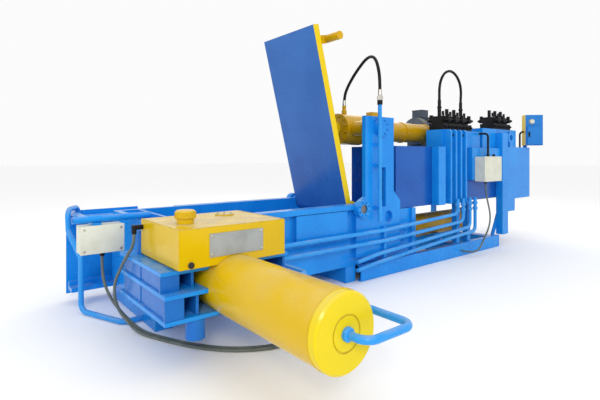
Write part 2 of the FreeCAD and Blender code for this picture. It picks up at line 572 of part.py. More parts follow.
def gate():
    """The discharge gate, which slides along the far wall, its guides and its cylinder."""
    inner = f"{WALL}+gate_gap"
    left = f"{LEFT}-rail_keeper"
    wide = "chamber_width+2*rail_keeper"
    low = "floor_top-rail_high/2"
    tall = "press_height+rail_high"
    door = box((left, inner, low), (wide, "gate_thick", tall))
    start = f"({END}-housing_left)"
    long = f"{left}+{wide}+gate_gap-{start}"
    rails = []
    for shelf, lip in ((f"{low}-gate_gap-rail_keeper", f"{low}-gate_gap-rail_keeper"),
                       (f"{low}+{tall}+gate_gap", f"{low}+{tall}-rail_keeper")):
        bar = box((start, WALL, shelf), (long, "gate_thick+3*gate_gap+rail_keeper/2", "rail_keeper"))
        edge = box((start, f"{inner}+gate_thick+gate_gap", lip),
                   (long, "rail_keeper/2+gate_gap", "2*rail_keeper+gate_gap"))
        rails.append(fuse(bar, edge))
    keep(group(*rails), "gate_guides")
    high = GATE_Z
    axis_y = "(housing_far-housing_plate-gate_barrel)"
    back = f"({END}-housing_left+beam_wide)"
    length = "(gate_travel+gate_barrel*2+gate_piston)"
    barrel = rod((back, axis_y, high), "gate_barrel", length, "x")
    bore = rod((f"{back}+gate_barrel*0.6", axis_y, high), "gate_barrel-8", length, "x")
    gland = turned((f"{back}+{length}-gate_piston", axis_y, high),
                   [("gate_rod+bore_gap", 0), ("gate_barrel-8", 0), ("gate_barrel-8", "gate_piston"),
                    ("gate_rod+bore_gap", "gate_piston")], "x")
    keep(group(cut(barrel, bore), gland), "gate_barrel")
    outer = f"({inner}+gate_thick)"
    arm_x = f"({back}+{length}+gate_travel+2*gate_gap)"
    arm_y = f"({outer}+rail_keeper)"
    foot_x = f"({left}+{wide}-rail_keeper)"
    arm = fuse(box((foot_x, f"{outer}-1", "floor_top+press_height/3"),
                   ("rail_keeper", "rail_keeper+beam_web+1", "press_height/3")),
               box((foot_x, arm_y, "floor_top+press_height/3"),
                   (f"{arm_x}+rail_keeper-{foot_x}", "beam_web", "press_height/3")),
               box((arm_x, arm_y, "floor_top+press_height/3"),
                   ("rail_keeper", "beam_web", f"{high}+gate_barrel-floor_top-press_height/3")),
               box((arm_x, arm_y, f"{high}-gate_barrel"),
                   ("rail_keeper", f"{axis_y}-{arm_y}+gate_barrel/2", "2*gate_barrel")))
    keep(fuse(door, arm), "gate")
    piston_x = f"({back}+{length}-2*gate_piston-3)"
    piston = rod((piston_x, axis_y, high), "gate_barrel-8-bore_gap", "gate_piston", "x")
    bar = rod((piston_x, axis_y, high), "gate_rod", f"{arm_x}-{piston_x}", "x")
    keep(fuse(bar, piston), "gate_rod")


# ---------------------------------------------------------------- power pack
def oil_tank():
    """The long oil tank with its rib plates, panel, posts and end section."""
    keep(box(("oil_left", "-oil_near+panel_out", "oil_low"),
             ("oil_right-oil_left", "oil_near+oil_far-panel_out", "oil_top-oil_low")), "oil_tank")
    end = box(("panel_right+end_in", "-oil_near", "oil_end_low"),
              ("oil_right-panel_right-end_in", "panel_out", "oil_top-oil_end_low+20"))
    skirt = box(("oil_right-skirt_in", "-oil_near", "oil_end_low-skirt_tall"),
                ("skirt_wide", "panel_out", "skirt_tall"))
    ring = rod(("oil_right-eye_in", "-oil_near", "oil_top+eye_high"), "eye_ring", "panel_out*0.8",
               "y")
    neck = box(("oil_right-eye_in-eye_hole", "-oil_near", "oil_top+20"),
               ("2*eye_hole", "panel_out*0.8", "eye_high-20"))
    eye = rod(("oil_right-eye_in", "-oil_near-1", "oil_top+eye_high"), "eye_hole", "panel_out+2", "y")
    front = box(("panel_left", "-oil_near-rib_plate+panel_out", "panel_low"),
                ("panel_right-panel_left", "rib_plate", "oil_top-panel_low"))
    keep(group(cut(fuse(end, skirt, ring, neck), eye), front), "tank_panels")
    channel = box(("plinth_left+157", "-oil_near-rib_plate", "oil_low"),
                  ("127", "rib_plate+panel_out", "oil_top-oil_low"))
    high = "rib_top-oil_low"
    ribs = [channel]
    for number in range(4):
        points = [(0, 0), ("rib_plate+panel_out", 0), ("rib_plate+panel_out", high),
                  (20, high), (0, f"{high}-20")]
        eye = ("rib_plate*0.7", f"{high}-60", 16)
        ribs.append(slab((f"plinth_left+378+rib_plate*{1.8 * number:.1f}", "-oil_near-rib_plate",
                          "oil_low"), "YZ_Plane", points, "rib_plate*0.55",
                         [eye] if number in (1, 3) else []))
    keep(group(*ribs), "tank_ribs")
    post = box(("panel_right", "-oil_near-rib_plate", "beam_tall"),
               ("rib_plate*2.6", "rib_plate+panel_out-1", "rib_top-beam_tall"))
    points = [(0, 0), ("column_side", 0), ("column_side*3.4", "column_side*4.4"),
              ("column_side*2.4", "column_side*4.4")]
    brace = slab(("beam_right-column_side", "-oil_near+panel_out-1", "beam_tall-beam_web-4"),
                 "XZ_Plane", points, "20")
    keep(group(post, brace), "tank_post")
    left = box(("plinth_start", "-oil_near+panel_out", "oil_top"),
               ("plinth_right-plinth_start", "oil_near-panel_out-plinth_back",
                "plinth_top-oil_top"))
    right = box(("plinth_right+60", "-oil_near+panel_out", "oil_top"),
                ("oil_right-plinth_right-400", "oil_near-panel_out-plinth_back",
                 "plinth_top-oil_top+50"))
    keep(group(left, right), "valve_plinths")


def tank_supports():
    """Columns between the base channels and the tank, and the slanted brace."""
    columns = []
    for place_x in ("plinth_left+563", "plinth_left+787", "column_side"):
        columns.append(box((place_x, f"-{WALL}-beam_wide/2", "beam_tall"),
                           ("column_side", "column_side", "oil_low-beam_tall")))
    for place_x in ("column_side", "beam_right-column_side"):
        columns.append(box((place_x, WALL, "beam_tall"),
                           ("column_side", "beam_wide", "oil_low-beam_tall-rim_height")))
    bearer = box(("column_side", "oil_far-column_side", "oil_low-rim_height"),
                 ("beam_right-column_side", "column_side", "rim_height"))
    outriggers = [box((place_x, "oil_far", "oil_low-rim_height"),
                      ("column_side", f"{WALL}+beam_wide-oil_far", "rim_height"))
                  for place_x in ("column_side", "beam_right-column_side")]
    foot = box(("oil_right-column_side*0.8", "-oil_near+panel_out", "oil_top"),
               ("column_side*0.65", "column_side*0.65", "control_low-oil_top"))
    keep(group(*columns, fuse(bearer, *outriggers), foot), "tank_supports")


def valve_stack(label, left, count, high):
    """A black manifold block with a row of solenoid valves on top."""
    deep = "(oil_near-panel_out-plinth_back)"
    base = box((left, "-oil_near+panel_out+10", high),
               (f"rib_plate*{count * 2.6:.1f}", f"{deep}-20", "rib_plate*1.3"))
    pieces = [base]
    for number in range(count):
        start = f"{left}+rib_plate*{number * 2.6 + 0.4:.1f}"
        body = box((start, "-oil_near+panel_out+30", f"{high}+rib_plate*1.3"),
                   ("rib_plate*1.3", f"{deep}-60", "rib_plate*1.5"))
        coil = rod((f"{start}+rib_plate*0.65", "-oil_near+panel_out-20", f"{high}+rib_plate*2"),
                   "rib_plate*0.48", f"{deep}+40", "y")
        knob = rod((f"{start}+rib_plate*0.65", "-oil_near+panel_out+100", f"{high}+rib_plate*2.7"),
                   "rib_plate*0.36", "rib_plate*1.7")
        pieces += [body, coil, knob]
    keep(fuse(*pieces), label)


def motor():
    """The motor, its bell housing and pump on a deck behind the tank."""
    deck = box(("motor_left-rib_plate*2", "oil_far-column_side*2", "oil_top"),
               ("motor_length+rib_plate*9", "deck_out+column_side*2", "rim_height/2"))
    gussets = [slab((place_x, "oil_far", "oil_top-deck_out*0.8"), "YZ_Plane",
                    [(0, 0), ("deck_out", "deck_out*0.8"), (0, "deck_out*0.8")], "web_plate")
               for place_x in ("motor_left", "motor_left+motor_length")]
    keep(group(deck, *gussets), "motor_deck")
    floor = "oil_top+rim_height/2"
    axis = ("motor_left", "motor_y", f"{floor}+motor_radius+20")
    barrel = turned(axis, [(0, 0), ("motor_radius*0.6", 0), ("motor_radius*0.95", 30),
                           ("motor_radius", 60), ("motor_radius", "motor_length-20"),
                           ("motor_radius*1.05", "motor_length-20"),
                           ("motor_radius*1.05", "motor_length"), (0, "motor_length")], "x")
    feet = box(("motor_left+80", "motor_y-motor_radius*0.8", floor),
               ("motor_length-160", "motor_radius*1.6", "motor_radius*0.5"))
    terminal = box(("motor_left+90", "motor_y-terminal_deep/2", f"{floor}+2*motor_radius+15"),
                   ("terminal_wide", "terminal_deep", "terminal_tall"))
    keep(fuse(barrel, feet, terminal), "motor")
    bell = turned(("motor_left+motor_length", "motor_y", f"{floor}+motor_radius+20"),
                  [(0, 0), ("motor_radius", 0), ("motor_radius", 15), ("motor_radius*0.7", 40),
                   ("motor_radius*0.5", "bell_long"), (0, "bell_long")], "x")
    block = box(("motor_left+motor_length+bell_long", "motor_y-pump_half",
                 f"{floor}+motor_radius+20-pump_half"), ("pump_long", "2*pump_half", "2*pump_half"))
    keep(fuse(bell, block), "pump")


# ---------------------------------------------------------------- control gear
def control_gear():
    """Junction boxes, the control box with its door and button, and the cable glands."""
    near = "-oil_near-rib_plate-box_right_deep+panel_out"
    keep(box(("box_right_x", near, "box_right_z"),
             ("box_right_wide", "box_right_deep", "box_right_tall")), "right_box")
    above, below = "box_right_z+box_right_tall", "box_right_z-gland_long"
    glands = [rod((f"box_right_x+box_right_wide*{share}", f"{near}+box_right_deep/2", level),
                  "gland_radius", "gland_long")
              for share, level in ((0.5, above), (0.85, above), (0.35, below))]
    low = "-control_deep/2"
    spot = ("-control_wide*0.15", "control_tall*0.78")
    case = box(("-control_wide/2", low, 0), ("control_wide", "control_deep", "control_tall"))
    hole = rod((spot[0], f"{low}-1", spot[1]), "button_radius+0.5", "button_radius+1", "y")
    door = box(("-control_wide*0.42", f"{low}-door_thick-0.5", "control_tall*0.03"),
               ("control_wide*0.88", "door_thick", "control_tall*0.59"))
    button = rod((spot[0], f"{low}-button_radius", spot[1]), "button_radius",
                 "button_radius*1.5", "y")
    for item, label in ((cut(case, hole), "control_box"), (door, "control_door"),
                        (button, "button")):
        keep(turn_about(group(item), (0, 0, -1), "control_turn",
                        ("control_x", "-control_y", "control_low")), label)
    left = f"({END}-left_box_out)"
    left_low = "(hopper_top-web_plate-left_box_tall)"
    glands.append(rod((f"{left}+left_box_wide*0.545", "-left_box_near+left_box_deep/2",
                       f"{left_low}-gland_long"), "gland_radius", "gland_long"))
    side = f"({SIDE_X}-tank_width/2)"
    elbow = f"({side}-gland_long*1.7)"
    entry = f"-{RIM}-gland_long"
    glands.append(fuse(rod((elbow, entry, "tank_low+tank_tall*0.78"), "gland_radius*0.9",
                           "gland_long*1.7", "x"),
                       rod((elbow, entry, "tank_low+tank_tall*0.6"), "gland_radius*0.9",
                           "tank_tall*0.18+gland_radius*0.9")))
    keep(group(*glands, *wires()), "cable_glands")
    keep(box((left, "-left_box_near", left_low),
             ("left_box_wide", "left_box_deep", "left_box_tall")), "left_box")


def wires():
    """Stiff black wires: junction box to valve plinth, and control box to tank top."""
    x = size("box_right_x+box_right_wide/2")
    front = -size("oil_near-panel_out")
    y = front - size("rib_plate+box_right_deep/2")
    low = size("box_right_z+box_right_tall+gland_long")
    high = size("plinth_top-wire_radius*2")
    up = [(x, y, low), (x, y, high), (x, front, high)]
    turn = math.radians(size("control_turn"))
    reach = size("control_wide/2")
    side = (size("control_x") - reach * math.cos(turn),
            -size("control_y") + reach * math.sin(turn))
    middle = size("control_low+control_tall*0.45")
    hook = size("wire_bend+10")
    out = (side[0] - hook * math.cos(turn), side[1] + hook * math.sin(turn))
    down = [(*side, middle), (*out, middle), (*out, size("oil_top"))]
    return [route(points, size("wire_radius"), size("wire_bend"))[0] for points in (up, down)]


# ---------------------------------------------------------------- pipes and hoses
def wall_pipes():
    """Rigid pipes along the near wall that rise at the first column."""
    out = -size("oil_near+rib_plate+pipe_radius")
    column = size("plinth_left+590")
    left = size(f"{LEFT}+chamber_width")
    bend_x = size("hopper_right+300")
    side_x, axis_z = size(SIDE_X), size(SIDE_Z)
    cap_y = -size(f"{FRONT}+side_barrel_out")
    riser = size("oil_low+50")
    turn_y = cap_y - 108
    back_x = side_x + size("side_barrel+119")
    front_y = cap_y + size("side_barrel_out-72")
    pipe("pressure_pipe", [(side_x, cap_y, axis_z), (side_x, turn_y, axis_z),
                           (back_x, turn_y, axis_z), (back_x, front_y, axis_z),
                           (back_x + 165, front_y, axis_z), (back_x + 165, out, axis_z),
                           (back_x + 400, out, 335), (bend_x, out, 335), (column - 150, out, 384),
                           (column, out, 392), (column, out, riser)])
    rows = [[(left + 190, out, 428), (bend_x, out, 428), (column - 260, out, 474),
             (column - 110, out, 482), (column - 110, out, riser)],
            [(bend_x - 390, out, 190), (bend_x - 120, out, 225), (column - 140, out, 300),
             (column + 140, out, 318), (column + 140, out, riser)],
            [(bend_x - 390, out, 120), (bend_x - 120, out, 150), (column - 140, out, 240),
             (column + 250, out, 262), (column + 250, out, riser)]]
    post_x, post_y, _ = post_port()
    rows.append([(post_x, post_y, 520), (post_x, post_y, 1560)])
    bars = [route(row, size("pipe_radius"), size("pipe_bend"))[0] for row in rows]
    keep(group(*bars, ground_pipe()), "wall_pipes")
    behind = "-oil_near-rib_plate"
    post_face = f"-{WALL}-post_plate"
    clamps = [box((bend_x - 15, behind, 145), (30, f"{post_face}-({behind})", 315)),
              box((column + 125, behind, "oil_low-30"),
                  (140, f"-{WALL}-beam_wide/2-({behind})", 25))]
    clamps += [box((post_x - 20, post_y + size("pipe_radius"), place_z),
                   (40, f"{post_face}-({post_y}+pipe_radius)", 30)) for place_z in (620, 1000, 1190)]
    keep(group(*clamps), "pipe_clamps")


def post_port():
    """Where the hose of the lid cylinder meets the pipe on the near post."""
    out = f"{WALL}+post_plate+hinge_housing_out/2+trunnion_cap+0.5+1.1*pipe_radius"
    return size("hopper_right+193"), -size(out), 1640


def ground_pipe():
    """The pipe from the gate cylinder over the end bar, down to the floor and in under the box."""
    left = size(END)
    bar = size(f"{END}-housing_left+beam_wide")
    barrel_y = size("housing_far-housing_plate-gate_barrel")
    barrel_top = size(f"{GATE_Z}+gate_barrel")
    over = size("hopper_top+32")
    low = size("pipe_radius+0.5")
    inlet = bar + size("pipe_radius+5")
    near = barrel_y - 339
    points = [(inlet, barrel_y, barrel_top), (inlet, barrel_y, over), (bar - 82, near + 170, over),
              (bar - 82, near + 145, over - 152), (bar - 30, near, over - 322), (bar - 30, near, low),
              (bar + 133, near - 397, low), (left + 20, near - 397, low)]
    return route(points, size("pipe_radius"), size("pipe_bend"))[0]


def hose_ports():
    """Where the loop hose meets the valves: left end and right end."""
    first = size("plinth_start+40+rib_plate*1.05")
    pitch = size("rib_plate*2.6")
    y = -size("oil_near-panel_out-100")
    high = size("plinth_top+rib_plate*4.4+40")
    return (first, y, high), (first + 3 * pitch, y, high)


def hoses():
    """The two black hoses, their fittings, and the grey cables."""
    post = post_port()
    left, right = hose_ports()
    fittings = []
    for (x, y, z), tall in ((post, 80), (left, 40), (right, 40)):
        profile = [(0, 0), (24, 0), (24, tall / 2), (18, tall / 2 + 3), (18, tall), (0, tall)]
        fittings.append(turned((x, y, z - tall), profile))
    keep(group(*fittings), "hose_fittings")
    x = size("hopper_right+251")
    cord("lid_hose", [(x, 0, 1597.5), (x, 0, 1697), (x + 14, -45, 1800), (x + 32, -112, 1900),
                      (x + 43, -185, 1978), (x + 38, -248, 2020), (x + 22, -316, 2035),
                      (x, -380, 2020), (x - 24, -432, 1982), (x - 44, -472, 1925),
                      (x - 56, -500, 1850), (post[0], post[1], 1760), post], "hose_radius")
    cord("valve_hose", [(left[0], left[1], left[2] + 0.3), (left[0], left[1], 1760),
                        (728, left[1] - 6, 1855), (745, left[1] - 15, 1955),
                        (815, left[1] - 22, 2040), (920, left[1] - 26, 2068),
                        (1030, left[1] - 24, 2035), (1120, left[1] - 18, 1955),
                        (1165, left[1] - 8, 1855), (right[0], right[1], 1760),
                        (right[0], right[1], right[2] + 0.3)], "hose_radius")


def cables():
    """The grey cables, each as a list of points chosen along its way."""
    cord("right_cable", [(1346.1, -511, 782.7), (1346.1, -511, 690), (1372, -525, 570),
                         (1385, -545, 450), (1360, -560, 345), (1290, -570, 255),
                         (1190, -580, 180), (1080, -605, 110), (985, -612, 68), (925, -575, 59),
                         (900, -520, 59), (900, -467.3, 59)], "cable_radius")
    cord("left_cable", [(-2740.1, -145, 464.7), (-2740.1, -145, 370), (-2725, -150, 270),
                        (-2690, -165, 180), (-2645, -200, 105), (-2600, -265, 45),
                        (-2568, -355, 12), (-2538, -460, 9.6), (-2478, -605, 9.6),
                        (-2383, -790, 9.6), (-2235, -965, 9.6), (-2025, -1070, 9.6),
                        (-1825, -1040, 9.6), (-1730, -890, 9.6), (-1745, -715, 9.6),
                        (-1840, -605, 9.6), (-1920, -545, 9.6), (-1950, -480, 9.6),
                        (-1950, -415.3, 9.6)], "cable_radius")
    cord("tank_cable", [(-2654, -495, 639.7), (-2654, -495, 575), (-2686, -462, 508),
                        (-2702, -405, 430), (-2714, -340, 348), (-2708, -287, 260),
                        (-2688, -258, 180), (-2660, -262, 110), (-2625, -308, 52),
                        (-2594, -385, 14), (-2560, -480, 9.6), (-2500, -620, 9.6),
                        (-2403, -812, 9.6), (-2250, -992, 9.6), (-2025, -1102, 9.6),
                        (-1806, -1066, 9.6), (-1702, -895, 9.6), (-1716, -700, 9.6),
                        (-1812, -590, 9.6), (-1892, -532, 9.6), (-1922, -470, 9.6),
                        (-1922, -415.3, 9.6)], "cable_radius")


# ---------------------------------------------------------------- base
def base():
    """Channels under the press cylinder, cross members and feet."""
    beams = []
    for low, inside in ((f"-{WALL}-beam_wide", f"-{WALL}-beam_wide+beam_web"), (WALL, WALL)):
        bar = box(("beam_left", low, "0"), ("beam_right-beam_left", "beam_wide", "beam_tall"))
        hollow = box(("beam_left-1", inside, "beam_web"),
                     ("beam_right-beam_left+2", "beam_wide-beam_web", "beam_tall-2*beam_web"))
        holes = [rod((f"{way}*anchor_pitch/2", f"{low}+beam_wide/2", "-1"), "anchor_hole",
                     "beam_web+2") for way in (-1, 1)]
        beams.append(cut(bar, hollow, *holes))
    keep(group(*beams), "base_beams")
    members = [box((place_x, f"-{WALL}", "0"), ("foot_long", f"2*{WALL}", "floor_top-floor_plate"))
               for place_x in (f"{END}+20", f"{LEFT}+chamber_width+40", "beam_left-foot_long-20",
                               f"{TAIL}-foot_long")]
    middle = "(beam_right-foot_long)*0.55"
    rest, end = [box((place_x, f"-{WALL}", "0"),
                     ("foot_long", f"2*{WALL}", "beam_tall-beam_web-4"))
                 for place_x in (middle, "beam_right-foot_long")]
    saddle = cut(box((middle, "-press_barrel", "beam_tall-beam_web-5"),
                     ("foot_long", "2*press_barrel", "press_barrel*0.6")),
                 rod(("beam_left", 0, PRESS_Z), "press_barrel+0.3", "beam_right-beam_left", "x"))
    keep(group(*members, fuse(rest, saddle), end), "cross_members")


def write_parts():
    """Check every object and write each sub-part to its own file."""
    DOC.recompute()
    for item in DOC.Objects:
        if {"Invalid", "Error"} & set(item.State):
            raise RuntimeError(f"{item.Label} did not compute: {item.State}")
    for item in PARTS:
        if item.Shape.isNull() or not item.Shape.isValid():
            raise RuntimeError(f"{item.Label} has no valid shape")
    os.makedirs("parts", exist_ok=True)
    for item in PARTS:
        item.Shape.exportStep(f"parts/{item.Label}.step")


hopper()
posts()
lid()
lid_cylinder()
press_ram()
side_frame()
side_press()
prefill_tank()
base()
gate_housing()
gate()
oil_tank()
tank_supports()
valve_stack("valves_left", "plinth_start+40", 4, "plinth_top")
valve_stack("valves_right", "plinth_right+350", 3, "plinth_top+50")
motor()
control_gear()
wall_pipes()
hoses()
cables()
write_parts()
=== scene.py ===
"""Looks of a hydraulic scrap baler: camera, cables, finishes, small fittings, light."""

import json
import logging
import math
from dataclasses import dataclass, field
from enum import Enum

import bmesh
import bpy
from mathutils import Matrix, Vector

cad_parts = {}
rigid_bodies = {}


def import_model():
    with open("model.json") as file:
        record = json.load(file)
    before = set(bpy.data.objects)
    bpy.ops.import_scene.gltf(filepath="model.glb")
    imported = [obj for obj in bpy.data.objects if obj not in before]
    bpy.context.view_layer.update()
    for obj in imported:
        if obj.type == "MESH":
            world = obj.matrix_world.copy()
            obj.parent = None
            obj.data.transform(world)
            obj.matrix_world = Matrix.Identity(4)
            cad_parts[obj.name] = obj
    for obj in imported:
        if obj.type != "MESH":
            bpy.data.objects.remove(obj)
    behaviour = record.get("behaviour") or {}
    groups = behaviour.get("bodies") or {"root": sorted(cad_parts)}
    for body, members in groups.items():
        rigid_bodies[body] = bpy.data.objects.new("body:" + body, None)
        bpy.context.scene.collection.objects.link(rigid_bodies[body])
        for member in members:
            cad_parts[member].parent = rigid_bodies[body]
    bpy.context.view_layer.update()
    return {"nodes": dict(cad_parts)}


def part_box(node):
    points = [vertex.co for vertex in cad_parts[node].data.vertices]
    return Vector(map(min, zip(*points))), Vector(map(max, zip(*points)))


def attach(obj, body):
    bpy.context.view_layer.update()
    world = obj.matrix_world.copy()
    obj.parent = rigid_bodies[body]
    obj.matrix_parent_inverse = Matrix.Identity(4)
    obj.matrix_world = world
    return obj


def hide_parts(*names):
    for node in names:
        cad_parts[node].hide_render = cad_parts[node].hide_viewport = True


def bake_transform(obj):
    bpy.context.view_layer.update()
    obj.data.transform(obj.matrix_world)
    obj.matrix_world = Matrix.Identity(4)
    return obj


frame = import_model()
LOG = logging.getLogger("baler")
Point = tuple[float, float, float]
Colour = tuple[float, float, float]


# ------------------------------------------------------------------ shader node groups
class Sock(Enum):
    """Socket kinds of node groups."""

    COLOUR = "NodeSocketColor"
    VALUE = "NodeSocketFloat"
    VECTOR = "NodeSocketVector"


class Wiring:
    """Short calls for building one node tree.

    Args:
        tree: the node tree of a material or a group.
    """

    def __init__(self, tree: bpy.types.NodeTree) -> None:
        """Keep the tree."""
        self.tree = tree

    def add(self, kind: str, **settings: object) -> bpy.types.Node:
        """Add a node.

        Args:
            kind: the node's type name.
            settings: attributes to set on it.

        Returns:
            The new node.
        """
        node = self.tree.nodes.new(kind)
        for name, value in settings.items():
            setattr(node, name, value)
        return node

    def join(self, out: bpy.types.NodeSocket, into: bpy.types.NodeSocket) -> None:
        """Link two sockets."""
        self.tree.links.new(out, into)

    def math(self, kind: str, one: object, two: object, clamp: bool = False) -> bpy.types.NodeSocket:
        """Add a math node.

        Args:
            kind: the operation, such as MULTIPLY.
            one: first socket or number.
            two: second socket or number.
            clamp: hold the result between 0 and 1.

        Returns:
            Its value socket.
        """
        node = self.add("ShaderNodeMath", operation=kind, use_clamp=clamp)
        for socket, value in zip(node.inputs, (one, two)):
            if isinstance(value, bpy.types.NodeSocket):
                self.join(value, socket)
            else:
                socket.default_value = value
        return node.outputs[0]

    def mix(self, factor: object, one: object, two: object) -> bpy.types.NodeSocket:
        """Blend two colours.

        Args:
            factor: socket or number.
            one: colour at 0.
            two: colour at 1.

        Returns:
            The blended colour's socket.
        """
        node = self.add("ShaderNodeMix", data_type="RGBA")
        for socket, value in zip((node.inputs[0], node.inputs[6], node.inputs[7]), (factor, one, two)):
            if isinstance(value, bpy.types.NodeSocket):
                self.join(value, socket)
            elif isinstance(value, tuple):
                socket.default_value = (*value, 1.0)
            else:
                socket.default_value = value
        return node.outputs[2]

    def ramp(self, source: bpy.types.NodeSocket, low: float, high: float) -> bpy.types.NodeSocket:
        """Stretch a value.

        Args:
            source: the value.
            low: what becomes 0.
            high: what becomes 1.

        Returns:
            The stretched value's socket.
        """
        node = self.add("ShaderNodeMapRange", clamp=True)
        self.join(source, node.inputs[0])
        node.inputs[1].default_value = low
        node.inputs[2].default_value = high
        return node.outputs[0]

    def noise(self, place: bpy.types.NodeSocket, scale: float,
              detail: float = 4.0) -> bpy.types.NodeSocket:
        """Add a noise texture.

        Args:
            place: coordinates.
            scale: waves a metre.
            detail: octaves.

        Returns:
            The noise value's socket.
        """
        node = self.add("ShaderNodeTexNoise")
        self.join(place, node.inputs["Vector"])
        node.inputs["Scale"].default_value = scale
        node.inputs["Detail"].default_value = detail
        return node.outputs["Fac"]


def new_group(name: str, inputs: dict[str, Sock], outputs: dict[str, Sock]) -> bpy.types.NodeTree:
    """Start a shader node group with named sockets.

    Args:
        name: the group's name.
        inputs: name and kind of each input.
        outputs: name and kind of each output.

    Returns:
        The group, with its input and output nodes.
    """
    tree = bpy.data.node_groups.new(name, "ShaderNodeTree")
    for way, sockets in (("INPUT", inputs), ("OUTPUT", outputs)):
        for label, kind in sockets.items():
            tree.interface.new_socket(label, in_out=way, socket_type=kind.value)
    tree.nodes.new("NodeGroupInput")
    tree.nodes.new("NodeGroupOutput")
    return tree


def enamel_group() -> bpy.types.NodeTree:
    """Build the paint group: patchy colour, dull spots, chipped edges, dust and orange peel.

    Returns:
        The group, with Color, Roughness, Metallic and Normal.
    """
    tree = new_group("worn_enamel", {"Paint": Sock.COLOUR, "Patch": Sock.COLOUR, "Chips": Sock.VALUE,
                                     "Dust": Sock.VALUE, "Gloss": Sock.VALUE},
                     {"Color": Sock.COLOUR, "Roughness": Sock.VALUE, "Metallic": Sock.VALUE,
                      "Normal": Sock.VECTOR})
    grime, primer = (0.58, 0.49, 0.33), (0.10, 0.085, 0.075)
    wire = Wiring(tree)
    given, result = tree.nodes["Group Input"], tree.nodes["Group Output"]
    place = wire.add("ShaderNodeTexCoord").outputs["Object"]
    shape = wire.add("ShaderNodeNewGeometry")
    soft = wire.add("ShaderNodeBevel", samples=4)
    soft.inputs["Radius"].default_value = 0.005
    turn = wire.add("ShaderNodeVectorMath", operation="DOT_PRODUCT")
    wire.join(soft.outputs[0], turn.inputs[0])
    wire.join(shape.outputs["Normal"], turn.inputs[1])
    edge = wire.ramp(turn.outputs["Value"], 0.97, 0.80)
    patchy = wire.ramp(wire.noise(place, 3.1, 6.0), 0.35, 0.68)
    broken = wire.ramp(wire.noise(place, 38.0, 8.0), 0.52, 0.62)
    chips = wire.math("MULTIPLY", wire.math("MULTIPLY", edge, broken), given.outputs["Chips"], True)
    up = wire.add("ShaderNodeSeparateXYZ")
    wire.join(shape.outputs["Normal"], up.inputs[0])
    lying = wire.ramp(up.outputs["Z"], 0.2, 0.95)
    cloud = wire.ramp(wire.noise(place, 7.0, 8.0), 0.38, 0.66)
    dust = wire.math("MULTIPLY", wire.math("MULTIPLY", lying, cloud), given.outputs["Dust"], True)
    colour = wire.mix(patchy, given.outputs["Paint"], given.outputs["Patch"])
    colour = wire.mix(dust, colour, grime)
    colour = wire.mix(chips, colour, primer)
    wire.join(colour, result.inputs["Color"])
    streak = wire.ramp(wire.noise(place, 16.0, 5.0), 0.3, 0.75)
    rough = wire.math("ADD", given.outputs["Gloss"], wire.math("MULTIPLY", streak, 0.14))
    rough = wire.math("ADD", rough, wire.math("MULTIPLY", dust, 0.45), True)
    wire.join(rough, result.inputs["Roughness"])
    wire.join(wire.math("MULTIPLY", chips, 0.5), result.inputs["Metallic"])
    peel = wire.add("ShaderNodeBump")
    peel.inputs["Strength"].default_value = 0.12
    peel.inputs["Distance"].default_value = 0.0006
    wire.join(wire.noise(place, 260.0, 2.0), peel.inputs["Height"])
    wire.join(soft.outputs[0], peel.inputs["Normal"])
    wire.join(peel.outputs[0], result.inputs["Normal"])
    return tree


def grain_group() -> bpy.types.NodeTree:
    """Build the fine grain group for moulded plastic, rubber and plated metal.

    Returns:
        The group, with Color, Roughness and Normal.
    """
    tree = new_group("fine_grain", {"Base": Sock.COLOUR, "Shade": Sock.COLOUR, "Scale": Sock.VALUE,
                                    "Gloss": Sock.VALUE, "Depth": Sock.VALUE},
                     {"Color": Sock.COLOUR, "Roughness": Sock.VALUE, "Normal": Sock.VECTOR})
    wire = Wiring(tree)
    given, result = tree.nodes["Group Input"], tree.nodes["Group Output"]
    place = wire.add("ShaderNodeTexCoord").outputs["Object"]
    grain = wire.add("ShaderNodeTexNoise")
    wire.join(place, grain.inputs["Vector"])
    wire.join(given.outputs["Scale"], grain.inputs["Scale"])
    grain.inputs["Detail"].default_value = 3.0
    stain = wire.ramp(wire.noise(place, 11.0, 7.0), 0.4, 0.72)
    wire.join(wire.mix(stain, given.outputs["Base"], given.outputs["Shade"]), result.inputs["Color"])
    uneven = wire.math("MULTIPLY", grain.outputs["Fac"], 0.16)
    rough = wire.math("ADD", given.outputs["Gloss"], uneven, True)
    wire.join(rough, result.inputs["Roughness"])
    bump = wire.add("ShaderNodeBump")
    bump.inputs["Distance"].default_value = 0.0005
    wire.join(given.outputs["Depth"], bump.inputs["Strength"])
    wire.join(grain.outputs["Fac"], bump.inputs["Height"])
    soft = wire.add("ShaderNodeBevel", samples=4)
    soft.inputs["Radius"].default_value = 0.002
    wire.join(soft.outputs[0], bump.inputs["Normal"])
    wire.join(bump.outputs[0], result.inputs["Normal"])
    return tree


GROUPS: dict[str, bpy.types.NodeTree] = {}


